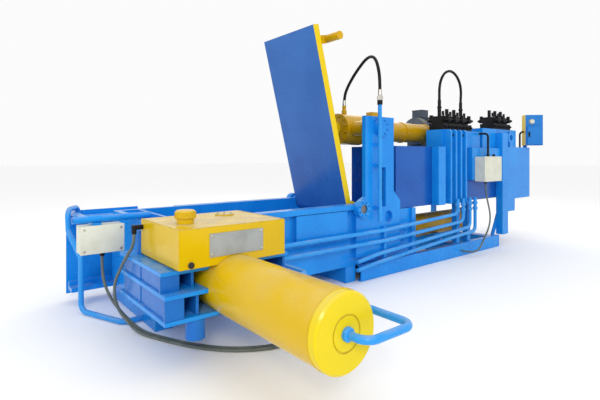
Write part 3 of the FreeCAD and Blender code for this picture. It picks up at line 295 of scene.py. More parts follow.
# ------------------------------------------------------------------ finishes
@dataclass(frozen=True)
class Enamel:
    """Sprayed gloss enamel on steel.

    Args:
        name: material name.
        paint: main colour.
        patch: colour of faded places.
        gloss: least roughness.
        chips: how much the edges are chipped.
        dust: how much dust lies on top faces.
        coat: weight of the clear coat.
        stripe: another colour for part of the piece, or None.
        stripe_way: the direction that the stripe is measured along.
        stripe_from: the stripe is where that distance is below this.
    """

    name: str
    paint: Colour
    patch: Colour
    gloss: float = 0.18
    chips: float = 0.5
    dust: float = 0.25
    coat: float = 0.05
    stripe: Colour | None = None
    stripe_way: Point = (0.0, 1.0, 0.0)
    stripe_from: float = 0.0

    def build(self) -> bpy.types.Material:
        """Make the material.

        Returns:
            The material.
        """
        material, wire, shader = blank(self.name)
        node = wire.add("ShaderNodeGroup")
        node.node_tree = GROUPS["worn_enamel"]
        node.inputs["Paint"].default_value = (*self.paint, 1.0)
        node.inputs["Patch"].default_value = (*self.patch, 1.0)
        node.inputs["Chips"].default_value = self.chips
        node.inputs["Dust"].default_value = self.dust
        node.inputs["Gloss"].default_value = self.gloss
        if self.stripe is not None:
            along = wire.add("ShaderNodeVectorMath", operation="DOT_PRODUCT")
            wire.join(wire.add("ShaderNodeTexCoord").outputs["Object"], along.inputs[0])
            along.inputs[1].default_value = self.stripe_way
            side = wire.math("LESS_THAN", along.outputs["Value"], self.stripe_from)
            wire.join(wire.mix(side, self.paint, self.stripe), node.inputs["Paint"])
            wire.join(wire.mix(side, self.patch, self.stripe), node.inputs["Patch"])
        wire.join(node.outputs["Color"], shader.inputs["Base Color"])
        wire.join(node.outputs["Roughness"], shader.inputs["Roughness"])
        wire.join(node.outputs["Metallic"], shader.inputs["Metallic"])
        wire.join(node.outputs["Normal"], shader.inputs["Normal"])
        shader.inputs["Coat Weight"].default_value = self.coat
        shader.inputs["Coat Roughness"].default_value = 0.1
        shader.inputs["Specular IOR Level"].default_value = 0.25
        return material


@dataclass(frozen=True)
class Grained:
    """Plastic, rubber or bare metal with a fine grain.

    Args:
        name: material name.
        base: main colour.
        shade: colour of stained places.
        gloss: least roughness.
        metal: metallic value.
        scale: grain waves a metre.
        depth: bump strength.
        specular: how strongly the surface mirrors its surroundings.
    """

    name: str
    base: Colour
    shade: Colour
    gloss: float = 0.4
    metal: float = 0.0
    scale: float = 700.0
    depth: float = 0.2
    specular: float = 0.4

    def build(self) -> bpy.types.Material:
        """Make the material.

        Returns:
            The material.
        """
        material, wire, shader = blank(self.name)
        node = wire.add("ShaderNodeGroup")
        node.node_tree = GROUPS["fine_grain"]
        node.inputs["Base"].default_value = (*self.base, 1.0)
        node.inputs["Shade"].default_value = (*self.shade, 1.0)
        node.inputs["Gloss"].default_value = self.gloss
        node.inputs["Scale"].default_value = self.scale
        node.inputs["Depth"].default_value = self.depth
        wire.join(node.outputs["Color"], shader.inputs["Base Color"])
        wire.join(node.outputs["Roughness"], shader.inputs["Roughness"])
        wire.join(node.outputs["Normal"], shader.inputs["Normal"])
        shader.inputs["Metallic"].default_value = self.metal
        shader.inputs["Specular IOR Level"].default_value = self.specular
        return material


def blank(name: str) -> tuple[bpy.types.Material, Wiring, bpy.types.Node]:
    """Start a material.

    Args:
        name: its name.

    Returns:
        The material, its wiring and its shader.
    """
    material = bpy.data.materials.new(name)
    material.use_nodes = True
    return material, Wiring(material.node_tree), material.node_tree.nodes["Principled BSDF"]


class Finish(Enum):
    """The finishes of the machine."""

    BLUE = Enamel("blue_enamel", (0.006, 0.235, 0.72), (0.010, 0.285, 0.80))
    # Darker blue of the oil tank: painted shade, for the shade on its face between the near post and
    # the ribs.
    TANK_IN_SHADOW = Enamel("tank_shadow_blue", (0.004, 0.080, 0.38), (0.006, 0.105, 0.44), dust=0.15)
    # Darker blue of the side webs: painted shade in their shallow recesses.
    WEBS_IN_SHADOW = Enamel("web_shadow_blue", (0.005, 0.130, 0.50), (0.008, 0.165, 0.57), dust=0.15)
    FACE = Enamel("lid_enamel", (0.024, 0.125, 0.42), (0.034, 0.155, 0.48), gloss=0.24,
                  stripe=(0.78, 0.56, 0.001), stripe_from=-0.3595)
    RIBS = Enamel("rib_enamel", (0.010, 0.150, 0.52), (0.016, 0.190, 0.60),
                  stripe=(0.62, 0.36, 0.001), stripe_way=(-0.9694, 0.0, -0.2453),
                  stripe_from=0.528)
    YELLOW = Enamel("yellow_enamel", (0.64, 0.41, 0.001), (0.70, 0.46, 0.002), gloss=0.14,
                    chips=0.35)
    # Darker yellow of the lid and press cylinders: painted shade, for the shadow of the lid and of the
    # oil tank on them.
    YELLOW_IN_SHADOW = Enamel("shadowed_yellow_enamel", (0.52, 0.29, 0.001), (0.60, 0.34, 0.002), gloss=0.14,
                   chips=0.35)
    # Lighter yellow of the side cylinder's end cap: painted light on the face that the light falls on,
    # a lit copy of the barrel's yellow.
    YELLOW_IN_LIGHT = Enamel("lit_yellow_enamel", (0.74, 0.57, 0.001), (0.78, 0.60, 0.002), gloss=0.16,
                   chips=0.35)
    # dust=0.9 lays heavy beige patches on its top faces: dust, and painted glare.
    TANK = Enamel("tank_enamel", (0.64, 0.42, 0.001), (0.70, 0.47, 0.002), gloss=0.12, dust=0.9)
    CABINET = Enamel("cabinet_enamel", (0.010, 0.180, 0.56), (0.018, 0.210, 0.62), dust=0.1,
                     stripe=(0.70, 0.48, 0.002), stripe_way=(0.7071, -0.7071, 0.0),
                     stripe_from=2.1031)
    PIPE = Enamel("pipe_enamel", (0.018, 0.270, 0.72), (0.030, 0.320, 0.78), gloss=0.2, chips=0.8)
    CHROME = Grained("hard_chrome", (0.72, 0.72, 0.73), (0.62, 0.62, 0.63), gloss=0.05, metal=1.0,
                     depth=0.03)
    ZINC = Grained("zinc_plate", (0.62, 0.60, 0.55), (0.48, 0.45, 0.38), gloss=0.26, metal=1.0)
    STEEL = Grained("oiled_steel", (0.20, 0.20, 0.20), (0.12, 0.11, 0.10), gloss=0.3, metal=1.0)
    CREAM = Grained("cream_plastic", (0.70, 0.71, 0.60), (0.62, 0.62, 0.50), gloss=0.38)
    HOSE = Grained("hose_rubber", (0.006, 0.006, 0.007), (0.015, 0.015, 0.015), gloss=0.36,
                   scale=420.0, depth=0.4, specular=0.15)
    CABLE = Grained("cable_sheath", (0.100, 0.120, 0.105), (0.16, 0.18, 0.16), gloss=0.38)
    BLACK = Grained("black_coil", (0.006, 0.006, 0.008), (0.016, 0.016, 0.018), gloss=0.34,
                    specular=0.15)
    IRON = Grained("dark_casting", (0.022, 0.024, 0.027), (0.05, 0.05, 0.05), gloss=0.42, metal=0.5,
                   scale=240.0, depth=0.5)
    PLATE = Grained("blank_plate", (0.36, 0.39, 0.40), (0.28, 0.30, 0.31), gloss=0.25)
    MOTOR = Enamel("motor_enamel", (0.05, 0.07, 0.10), (0.07, 0.09, 0.12), gloss=0.35, dust=0.5)


MATERIALS: dict[Finish, bpy.types.Material] = {}


# ------------------------------------------------------------------ mesh work
def settled(item: bpy.types.Object) -> bpy.types.Mesh:
    """Copy an object's mesh as its modifiers or its spline make it.

    Args:
        item: a mesh or curve object.

    Returns:
        A new mesh.
    """
    bpy.context.view_layer.update()
    return bpy.data.meshes.new_from_object(
        item.evaluated_get(bpy.context.evaluated_depsgraph_get()))


@dataclass
class Piece:
    """One mesh piece, drawn in the machine's own frame.

    Args:
        name: object name.
        mesh: the mesh so far.
    """

    name: str
    mesh: bmesh.types.BMesh = field(default_factory=bmesh.new)

    def take(self, part: bmesh.types.BMesh) -> "Piece":
        """Add a finished part to the piece.

        Args:
            part: the part, which is freed.

        Returns:
            The piece.
        """
        bmesh.ops.recalc_face_normals(part, faces=part.faces)
        data = bpy.data.meshes.new("part")
        part.to_mesh(data)
        part.free()
        self.mesh.from_mesh(data)
        bpy.data.meshes.remove(data)
        return self

    def block(self, low: Point, high: Point, bevel: float = 0.002) -> "Piece":
        """Add a block with eased edges.

        Args:
            low: lowest corner.
            high: highest corner.
            bevel: width of the eased edges.

        Returns:
            The piece.
        """
        part = bmesh.new()
        size = Vector(high) - Vector(low)
        middle = (Vector(high) + Vector(low)) / 2
        place = Matrix.Translation(middle) @ Matrix.Diagonal((*size, 1.0))
        bmesh.ops.create_cube(part, size=1.0, matrix=place)
        bmesh.ops.bevel(part, geom=part.edges[:], offset=bevel, segments=2, affect="EDGES",
                        profile=0.5)
        return self.take(part)

    def turn(self, start: Point, axis: Point, profile: list[tuple[float, float]],
             sides: int = 48) -> "Piece":
        """Add a turned part.

        Args:
            start: where height 0 is.
            axis: direction of the axis.
            profile: (radius, height) points from the first end to the last.
            sides: faces round it.

        Returns:
            The piece.
        """
        part = bmesh.new()
        frame_turn = Vector((0, 0, 1)).rotation_difference(Vector(axis).normalized()).to_matrix()
        rings = []
        for radius, height in profile:
            ring = []
            for step in range(sides):
                angle = 2 * math.pi * step / sides
                spot = Vector((radius * math.cos(angle), radius * math.sin(angle), height))
                ring.append(part.verts.new(frame_turn @ spot + Vector(start)))
            rings.append(ring)
        for lower, upper in zip(rings, rings[1:]):
            for step in range(sides):
                after = (step + 1) % sides
                part.faces.new((lower[step], lower[after], upper[after], upper[step]))
        part.faces.new(rings[0][::-1])
        part.faces.new(rings[-1])
        return self.take(part)

    def drum(self, start: Point, end: Point, radius: float, ease: float = 0.002,
             sides: int = 40) -> "Piece":
        """Add a round bar with eased ends.

        Args:
            start: centre of one end.
            end: centre of the other end.
            radius: its radius.
            ease: width of the eased rims.
            sides: faces round it, 6 for a hexagon.

        Returns:
            The piece.
        """
        way = Vector(end) - Vector(start)
        long = way.length
        profile = [(radius - ease, 0.0), (radius, ease), (radius, long - ease), (radius - ease, long)]
        return self.turn(start, tuple(way), profile, sides)

    def ring(self, centre: Point, axis: Point, radius: float, thick: float,
             sides: int = 48) -> "Piece":
        """Add a round ring, such as a weld or a seal.

        Args:
            centre: its centre.
            axis: its axis.
            radius: from the centre to the middle of its section.
            thick: radius of its section.
            sides: faces round it.

        Returns:
            The piece.
        """
        part = bmesh.new()
        frame_turn = Vector((0, 0, 1)).rotation_difference(Vector(axis).normalized()).to_matrix()
        corners = 8
        rings = []
        for step in range(sides):
            angle = 2 * math.pi * step / sides
            ring = []
            for turn in range(corners):
                tilt = 2 * math.pi * turn / corners
                reach = radius + thick * math.cos(tilt)
                spot = (reach * math.cos(angle), reach * math.sin(angle), thick * math.sin(tilt))
                ring.append(part.verts.new(frame_turn @ Vector(spot) + Vector(centre)))
            rings.append(ring)
        for step in range(sides):
            one, two = rings[step], rings[(step + 1) % sides]
            for turn in range(corners):
                after = (turn + 1) % corners
                part.faces.new((one[turn], two[turn], two[after], one[after]))
        return self.take(part)

    def shift(self, place: Matrix) -> "Piece":
        """Move all parts so far by a matrix."""
        bmesh.ops.transform(self.mesh, matrix=place, verts=self.mesh.verts)
        return self

    def make(self, finish: Finish, body: str, slot: str = "") -> bpy.types.Object:
        """Turn the parts into an object that rides on a body.

        Args:
            finish: its finish.
            body: the CAD body it rides on.
            slot: the record's material slot; not used.

        Returns:
            The object.
        """
        data = bpy.data.meshes.new(self.name)
        self.mesh.to_mesh(data)
        self.mesh.free()
        item = bpy.data.objects.new(self.name, data)
        bpy.context.scene.collection.objects.link(item)
        data.materials.append(MATERIALS[finish])
        data.shade_smooth()
        data.set_sharp_from_angle(angle=math.radians(32))
        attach(item, body)
        LOG.info("%s: %d faces", self.name, len(data.polygons))
        return item


# ------------------------------------------------------------------ geometry nodes
class Repeats(Enum):
    """Shapes that the node trees repeat."""

    HEX_BOLT = "hex_bolt"
    SOCKET_BOLT = "socket_bolt"
    WELD_RIPPLE = "weld_ripple"
    FIN = "fin"


class RepeatTree:
    """A geometry node tree that sets one shape on each point of a mesh, along its axis attribute.

    Args:
        kind: the shape.
    """

    def __init__(self, kind: Repeats) -> None:
        """Build the tree.

        Args:
            kind: the shape.
        """
        self.kind = kind
        self.tree = bpy.data.node_groups.new(kind.value, "GeometryNodeTree")
        face = self.tree.interface
        face.new_socket("Geometry", in_out="OUTPUT", socket_type="NodeSocketGeometry")
        self.ids = {"Geometry": face.new_socket("Geometry", in_out="INPUT",
                                                socket_type="NodeSocketGeometry").identifier}
        for name in ("Radius", "Height", "Uneven"):
            self.ids[name] = face.new_socket(name, in_out="INPUT",
                                             socket_type="NodeSocketFloat").identifier
        self.ids["Material"] = face.new_socket("Material", in_out="INPUT",
                                               socket_type="NodeSocketMaterial").identifier
        self.wire = Wiring(self.tree)
        self.given = self.wire.add("NodeGroupInput")
        self.build()

    def cylinder(self, sides: int, radius: float, low: float, high: float) -> bpy.types.NodeSocket:
        """Add a cylinder measured in shares of Radius and Height.

        Args:
            sides: faces round it.
            radius: share of Radius.
            low: share of Height where it starts.
            high: share of Height where it ends.

        Returns:
            Its geometry.
        """
        node = self.wire.add("GeometryNodeMeshCylinder")
        node.inputs["Vertices"].default_value = sides
        wide = self.wire.math("MULTIPLY", self.given.outputs["Radius"], radius)
        tall = self.wire.math("MULTIPLY", self.given.outputs["Height"], high - low)
        self.wire.join(wide, node.inputs["Radius"])
        self.wire.join(tall, node.inputs["Depth"])
        lift = self.wire.add("ShaderNodeCombineXYZ")
        self.wire.join(self.wire.math("MULTIPLY", self.given.outputs["Height"], (high + low) / 2),
                       lift.inputs["Z"])
        move = self.wire.add("GeometryNodeTransform")
        self.wire.join(node.outputs["Mesh"], move.inputs["Geometry"])
        self.wire.join(lift.outputs[0], move.inputs["Translation"])
        return move.outputs["Geometry"]

    def shapes(self) -> list[bpy.types.NodeSocket]:
        """Add the repeated shape's own parts.

        Returns:
            The geometry of each part.
        """
        if self.kind is Repeats.HEX_BOLT:
            return [self.cylinder(24, 1.25, 0.0, 0.2), self.cylinder(6, 1.0, 0.2, 0.85),
                    self.cylinder(16, 0.52, 0.85, 1.1)]
        if self.kind is Repeats.SOCKET_BOLT:
            return [self.cylinder(16, 1.0, 0.0, 0.9), self.cylinder(6, 0.55, 0.9, 0.92)]
        if self.kind is Repeats.FIN:
            block = self.wire.add("GeometryNodeMeshCube")
            size = self.wire.add("ShaderNodeCombineXYZ")
            self.wire.join(self.given.outputs["Radius"], size.inputs["X"])
            size.inputs["Y"].default_value = 0.004
            self.wire.join(self.given.outputs["Height"], size.inputs["Z"])
            self.wire.join(size.outputs[0], block.inputs["Size"])
            return [block.outputs["Mesh"]]
        ball = self.wire.add("GeometryNodeMeshUVSphere")
        ball.inputs["Segments"].default_value = 8
        ball.inputs["Rings"].default_value = 5
        self.wire.join(self.given.outputs["Radius"], ball.inputs["Radius"])
        return [ball.outputs["Mesh"]]

    def build(self) -> None:
        """Wire the tree from points to finished mesh."""
        wire = self.wire
        joined = wire.add("GeometryNodeJoinGeometry")
        for socket in self.shapes():
            wire.join(socket, joined.inputs[0])
        axis = wire.add("GeometryNodeInputNamedAttribute", data_type="FLOAT_VECTOR")
        axis.inputs["Name"].default_value = "axis"
        align = wire.add("FunctionNodeAlignRotationToVector", axis="Z")
        wire.join(axis.outputs["Attribute"], align.inputs["Vector"])
        vary = wire.add("FunctionNodeRandomValue", data_type="FLOAT")
        vary.inputs["Seed"].default_value = 7
        low = wire.math("SUBTRACT", 1.0, self.given.outputs["Uneven"])
        high = wire.math("ADD", 1.0, self.given.outputs["Uneven"])
        wire.join(low, vary.inputs[2])
        wire.join(high, vary.inputs[3])
        spots = wire.add("GeometryNodeInstanceOnPoints")
        wire.join(self.given.outputs["Geometry"], spots.inputs["Points"])
        wire.join(joined.outputs[0], spots.inputs["Instance"])
        wire.join(align.outputs[0], spots.inputs["Rotation"])
        wire.join(vary.outputs[1], spots.inputs["Scale"])
        real = wire.add("GeometryNodeRealizeInstances")
        wire.join(spots.outputs[0], real.inputs[0])
        paint = wire.add("GeometryNodeSetMaterial")
        wire.join(real.outputs[0], paint.inputs["Geometry"])
        wire.join(self.given.outputs["Material"], paint.inputs["Material"])
        result = wire.add("NodeGroupOutput")
        wire.join(paint.outputs[0], result.inputs[0])


TREES: dict[Repeats, RepeatTree] = {}


@dataclass
class Field:
    """Many copies of one small shape on one body.

    Args:
        name: object name.
        kind: the shape.
        radius: its radius in metres.
        height: its height in metres.
        uneven: how much the copies differ in size.
        spots: where they sit, and their axes.
    """

    name: str
    kind: Repeats
    radius: float
    height: float
    uneven: float = 0.0
    spots: list[tuple[Vector, Vector]] = field(default_factory=list)

    def at(self, place: Point, axis: Point) -> "Field":
        """Add one copy."""
        self.spots.append((Vector(place), Vector(axis)))
        return self

    def circle(self, centre: Point, axis: Point, pitch: float, count: int,
               start: float = 0.0) -> "Field":
        """Add a ring of copies.

        Args:
            centre: centre of the ring, on the face.
            axis: the way the copies point.
            pitch: radius of the ring.
            count: how many.
            start: first angle in degrees.

        Returns:
            The field.
        """
        turn = Vector((0, 0, 1)).rotation_difference(Vector(axis)).to_matrix()
        for step in range(count):
            angle = 2 * math.pi * step / count + math.radians(start)
            spot = Vector(centre) + turn @ Vector((pitch * math.cos(angle), pitch * math.sin(angle), 0))
            self.spots.append((spot, Vector(axis)))
        return self

    def line(self, start: Point, end: Point, axis: Point, step: float) -> "Field":
        """Add copies along a line.

        Args:
            start: first place.
            end: last place.
            axis: the way the copies point.
            step: distance between copies.

        Returns:
            The field.
        """
        way = Vector(end) - Vector(start)
        count = max(1, round(way.length / step))
        for number in range(count + 1):
            self.spots.append((Vector(start) + way * number / count, Vector(axis)))
        return self

    def make(self, finish: Finish, body: str, slot: str = "") -> bpy.types.Object:
        """Run the tree and keep its mesh.

        Args:
            finish: the copies' finish.
            body: the CAD body they ride on.
            slot: the record's material slot; not used.

        Returns:
            The object.
        """
        data = bpy.data.meshes.new(self.name)
        data.from_pydata([tuple(spot) for spot, _ in self.spots], [], [])
        attribute = data.attributes.new("axis", "FLOAT_VECTOR", "POINT")
        attribute.data.foreach_set("vector", [value for _, axis in self.spots for value in axis])
        item = bpy.data.objects.new(self.name, data)
        bpy.context.scene.collection.objects.link(item)
        tree = TREES[self.kind]
        modifier = item.modifiers.new("repeat", "NODES")
        modifier.node_group = tree.tree
        modifier[tree.ids["Radius"]] = self.radius
        modifier[tree.ids["Height"]] = self.height
        modifier[tree.ids["Uneven"]] = self.uneven
        modifier[tree.ids["Material"]] = MATERIALS[finish]
        result = settled(item)
        item.modifiers.remove(modifier)
        item.data = result
        result.name = self.name
        result.shade_smooth()
        result.set_sharp_from_angle(angle=math.radians(30))
        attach(item, body)
        LOG.info("%s: %d copies", self.name, len(self.spots))
        return item


# ------------------------------------------------------------------ camera, light, floor
@dataclass
class Studio:
    """Camera, lights and floor.

    Args:
        eye: the camera's place.
        heading: degrees from +Y towards +X.
        lens: focal length in mm on a 36 mm sensor.
        shift: vertical shift of the frame.
        sky: strength of the even white light from all round.
    """

    eye: Point = (-3.5, -3.101, 1.092)
    heading: float = 38.83
    lens: float = 26.16
    shift: float = -0.0717
    sky: float = 0.97

    def camera(self) -> None:
        """Make the camera at the photograph's place."""
        data = bpy.data.cameras.new("camera")
        data.lens = self.lens
        data.sensor_width = 36.0
        data.shift_y = self.shift
        item = bpy.data.objects.new("camera", data)
        item.location = self.eye
        item.rotation_euler = (math.radians(90.0), 0.0, math.radians(-self.heading))
        bpy.context.scene.collection.objects.link(item)
        bpy.context.scene.camera = item

    def lamp(self, name: str, place: Point, aim: Point, power: float, size: float) -> None:
        """Add a soft area light.

        Args:
            name: its name.
            place: where it hangs.
            aim: what it points at.
            power: watts.
            size: side length in metres.
        """
        data = bpy.data.lights.new(name, "AREA")
        data.energy = power
        data.size = size
        item = bpy.data.objects.new(name, data)
        item.location = place
        item.rotation_euler = (Vector(aim) - Vector(place)).to_track_quat("-Z", "Y").to_euler()
        bpy.context.scene.collection.objects.link(item)

    def light(self) -> None:
        """Hang the lights and lay the pale floor."""
        world = bpy.data.worlds.new("studio")
        bpy.context.scene.world = world
        world.use_nodes = True
        sky = world.node_tree.nodes["Background"]
        sky.inputs["Color"].default_value = (1.0, 1.0, 1.0, 1.0)
        sky.inputs["Strength"].default_value = self.sky
        self.lamp("key", (-6.0, -6.5, 4.2), (-1.5, -0.3, 0.5), 170.0, 1.6)
        self.lamp("top", (0.0, -1.0, 7.0), (-0.5, 0.0, 0.5), 60.0, 5.0)
        self.lamp("rim", (4.5, 4.5, 4.5), (0.0, 0.0, 0.8), 70.0, 4.0)
        wide, deep = 60.0, -0.001
        data = bpy.data.meshes.new("floor")
        data.from_pydata([(x * wide, y * wide, deep) for x, y in ((-1, -1), (1, -1), (1, 1), (-1, 1))],
                         [], [(0, 1, 2, 3)])
        item = bpy.data.objects.new("floor", data)
        bpy.context.scene.collection.objects.link(item)
        material, wire, shader = blank("pale_floor")
        place = wire.add("ShaderNodeTexCoord").outputs["Object"]
        wire.join(wire.mix(wire.noise(place, 0.8), (0.94, 0.94, 0.94), (0.97, 0.97, 0.97)),
                  shader.inputs["Base Color"])
        shader.inputs["Roughness"].default_value = 0.7
        data.materials.append(material)
        bpy.context.scene.view_settings.view_transform = "Standard"


# ------------------------------------------------------------------ cords
def millimetres(points: list[tuple[float, float, float]]) -> list[Point]:
    """Points in metres."""
    return [(x / 1000, y / 1000, z / 1000) for x, y, z in points]


@dataclass
class Line:
    """A hose or a cable on one smooth spline.

    Args:
        name: object name.
        node: the CAD node it stands for.
        radius: its radius in metres.
        points: its control points in millimetres.
        finish: its finish.
    """

    name: str
    node: str
    radius: float
    points: list[tuple[float, float, float]]
    finish: Finish

    def curve(self) -> bpy.types.Object:
        """Make the spline.

        Returns:
            The curve object.
        """
        data = bpy.data.curves.new(self.name, "CURVE")
        data.dimensions = "3D"
        data.resolution_u = 10
        data.bevel_resolution = 5
        data.bevel_depth = self.radius
        data.use_fill_caps = True
        spline = data.splines.new("NURBS")
        spline.points.add(len(self.points) - 1)
        for spot, place in zip(spline.points, millimetres(self.points)):
            spot.co = (*place, 1.0)
        spline.order_u = 3
        spline.use_endpoint_u = True
        data.materials.append(MATERIALS[self.finish])
        item = bpy.data.objects.new(self.name, data)
        bpy.context.scene.collection.objects.link(item)
        return item

    def length(self, item: bpy.types.Object) -> float:
        """Measure the spline.

        Args:
            item: the curve object.

        Returns:
            Its length in metres.
        """
        item.data.bevel_depth = 0.0
        mesh = settled(item)
        long = sum((mesh.vertices[edge.vertices[0]].co - mesh.vertices[edge.vertices[1]].co).length
                   for edge in mesh.edges)
        item.data.bevel_depth = self.radius
        bpy.data.meshes.remove(mesh)
        return long

    def lay(self, stiffness: str, lay: str, body: str = "machine") -> bpy.types.Object:
        """Args:
            stiffness: limp, medium or stiff; not used.
            lay: loose or hanging; not used.
            body: the CAD body it rides on.

        Returns:
            The curve.
        """
        item = self.curve()
        long = self.length(item)
        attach(item, body)
        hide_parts(self.node)
        LOG.info("%s: %.2f m", self.name, long)
        return item


@dataclass
class Cables:
    """The free hose and cables, and the hose of the lid cylinder.

    Args:
        cable: radius of a cable.
        hose: radius of a hose.
    """

    cable: float = 0.009
    hose: float = 0.0145

    def lay(self) -> None:
        """Lay the cords."""
        Line("sensor_cable", "left_cable", self.cable, [
            (-2740.1, -145, 464.7), (-2740.1, -145, 370), (-2725, -150, 270), (-2690, -165, 180),
            (-2645, -200, 105), (-2600, -265, 45), (-2568, -355, 12), (-2538, -460, 9.6),
            (-2478, -605, 9.6), (-2383, -790, 9.6), (-2235, -965, 9.6), (-2025, -1070, 9.6),
            (-1825, -1040, 9.6), (-1730, -890, 9.6), (-1745, -715, 9.6), (-1840, -605, 9.6),
            (-1920, -545, 9.6), (-1950, -480, 9.6), (-1950, -415.3, 9.6)],
            Finish.CABLE).lay("medium", "loose")
        Line("filler_cable", "tank_cable", self.cable, [
            (-2654, -495, 639.7), (-2654, -495, 575), (-2686, -462, 508), (-2702, -405, 430),
            (-2714, -340, 348), (-2708, -287, 260), (-2688, -258, 180), (-2660, -262, 110),
            (-2625, -308, 52), (-2594, -385, 14), (-2560, -480, 9.6), (-2500, -620, 9.6),
            (-2403, -812, 9.6), (-2250, -992, 9.6), (-2025, -1102, 9.6), (-1806, -1066, 9.6),
            (-1702, -895, 9.6), (-1716, -700, 9.6), (-1812, -590, 9.6), (-1892, -532, 9.6),
            (-1922, -470, 9.6), (-1922, -415.3, 9.6)], Finish.CABLE).lay("medium", "loose")
        Line("box_cable", "right_cable", self.cable, [
            (1346.1, -511, 782.7), (1346.1, -511, 690), (1372, -525, 570), (1385, -545, 450),
            (1360, -560, 345), (1290, -570, 255), (1190, -580, 180), (1080, -605, 110),
            (985, -612, 68), (925, -575, 59), (900, -520, 59), (900, -467.3, 59)],
            Finish.CABLE).lay("medium", "hanging")
        Line("valve_loop", "valve_hose", self.hose, [
            (737.75, -302, 1672.3), (737.75, -302, 1760), (728, -308, 1855), (745, -317, 1955),
            (815, -324, 2040), (920, -328, 2068), (1030, -326, 2035), (1120, -320, 1955),
            (1165, -310, 1855), (1166.75, -302, 1760), (1166.75, -302, 1672.3)],
            Finish.HOSE).lay("stiff", "hanging")

    def lid_hose(self) -> None:
        """Make the hose between the lid cylinder and the post pipe, as a fixed tube."""
        x = -440
        post = (-498, -511.3)
        item = Line("trunnion_hose", "lid_hose", self.hose, [
            (x, 0, 1597.5), (x, 0, 1697), (x + 14, -45, 1800), (x + 32, -112, 1900),
            (x + 43, -185, 1978), (x + 38, -248, 2020), (x + 22, -316, 2035), (x, -380, 2020),
            (x - 24, -432, 1982), (x - 44, -472, 1925), (x - 56, -500, 1850), (*post, 1760),
            (*post, 1640)], Finish.HOSE).curve()
        piece = bpy.data.objects.new("trunnion_hose_tube", settled(item))
        bpy.context.scene.collection.objects.link(piece)
        bpy.data.objects.remove(item)
        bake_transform(piece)
        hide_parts("lid_hose")


# ------------------------------------------------------------------ sub-assemblies
@dataclass
class Dressing:
    """Finishes of the CAD nodes.

    Args:
        blue: the nodes in the machine's main blue.
    """

    blue: tuple[str, ...] = (
        "base_beams", "bearing_rings", "cross_members", "crosshead", "far_post", "far_wall",
        "floor_plate", "gate", "gate_barrel", "gate_guides", "gate_housing", "left_end_block",
        "motor_deck", "near_post", "near_wall", "pipe_clamps", "press_ram", "side_plates",
        "side_ram", "tank_panels", "tank_post", "tank_ribs", "tank_supports", "valve_plinths")

    def paint(self) -> None:
        """Give every shown CAD node its material."""
        chosen = {name: Finish.BLUE for name in self.blue}
        chosen |= {"lid_plate": Finish.FACE, "prefill_tank": Finish.TANK, "tank_fittings": Finish.TANK,
                   # oil_tank takes a darker blue that paints its shade; side_webs takes one that paints
                   # the shade in their recesses.
                   "oil_tank": Finish.TANK_IN_SHADOW, "side_webs": Finish.WEBS_IN_SHADOW,
                   # lid_barrel and press_barrel take a darker yellow that paints their shadow.
                   "lid_barrel": Finish.YELLOW_IN_SHADOW, "press_barrel": Finish.YELLOW_IN_SHADOW,
                   # side_cap takes a lighter yellow that paints the light on it.
                   "side_barrel": Finish.YELLOW, "side_cap": Finish.YELLOW_IN_LIGHT,
                   "control_box": Finish.CABINET, "control_door": Finish.CABINET,
                   "wall_pipes": Finish.PIPE, "pressure_pipe": Finish.PIPE, "lid_rod": Finish.CHROME,
                   "press_rod": Finish.CHROME, "side_rod": Finish.CHROME, "gate_rod": Finish.CHROME,
                   "hinge_shaft": Finish.STEEL, "hose_fittings": Finish.BLACK,
                   "left_box": Finish.CREAM, "right_box": Finish.CREAM, "valves_left": Finish.BLACK,
                   "valves_right": Finish.BLACK, "cable_glands": Finish.BLACK,
                   "filler_cap": Finish.YELLOW, "blank_plate": Finish.PLATE,
                   "button": Finish.CREAM, "motor": Finish.MOTOR, "pump": Finish.IRON,
                   "lid_lugs": Finish.YELLOW, "lid_ribs": Finish.RIBS}
        for name, item in frame["nodes"].items():
            if name in chosen:
                item.data.materials.clear()
                item.data.materials.append(MATERIALS[chosen[name]])
        LOG.info("%d nodes painted", len(chosen))


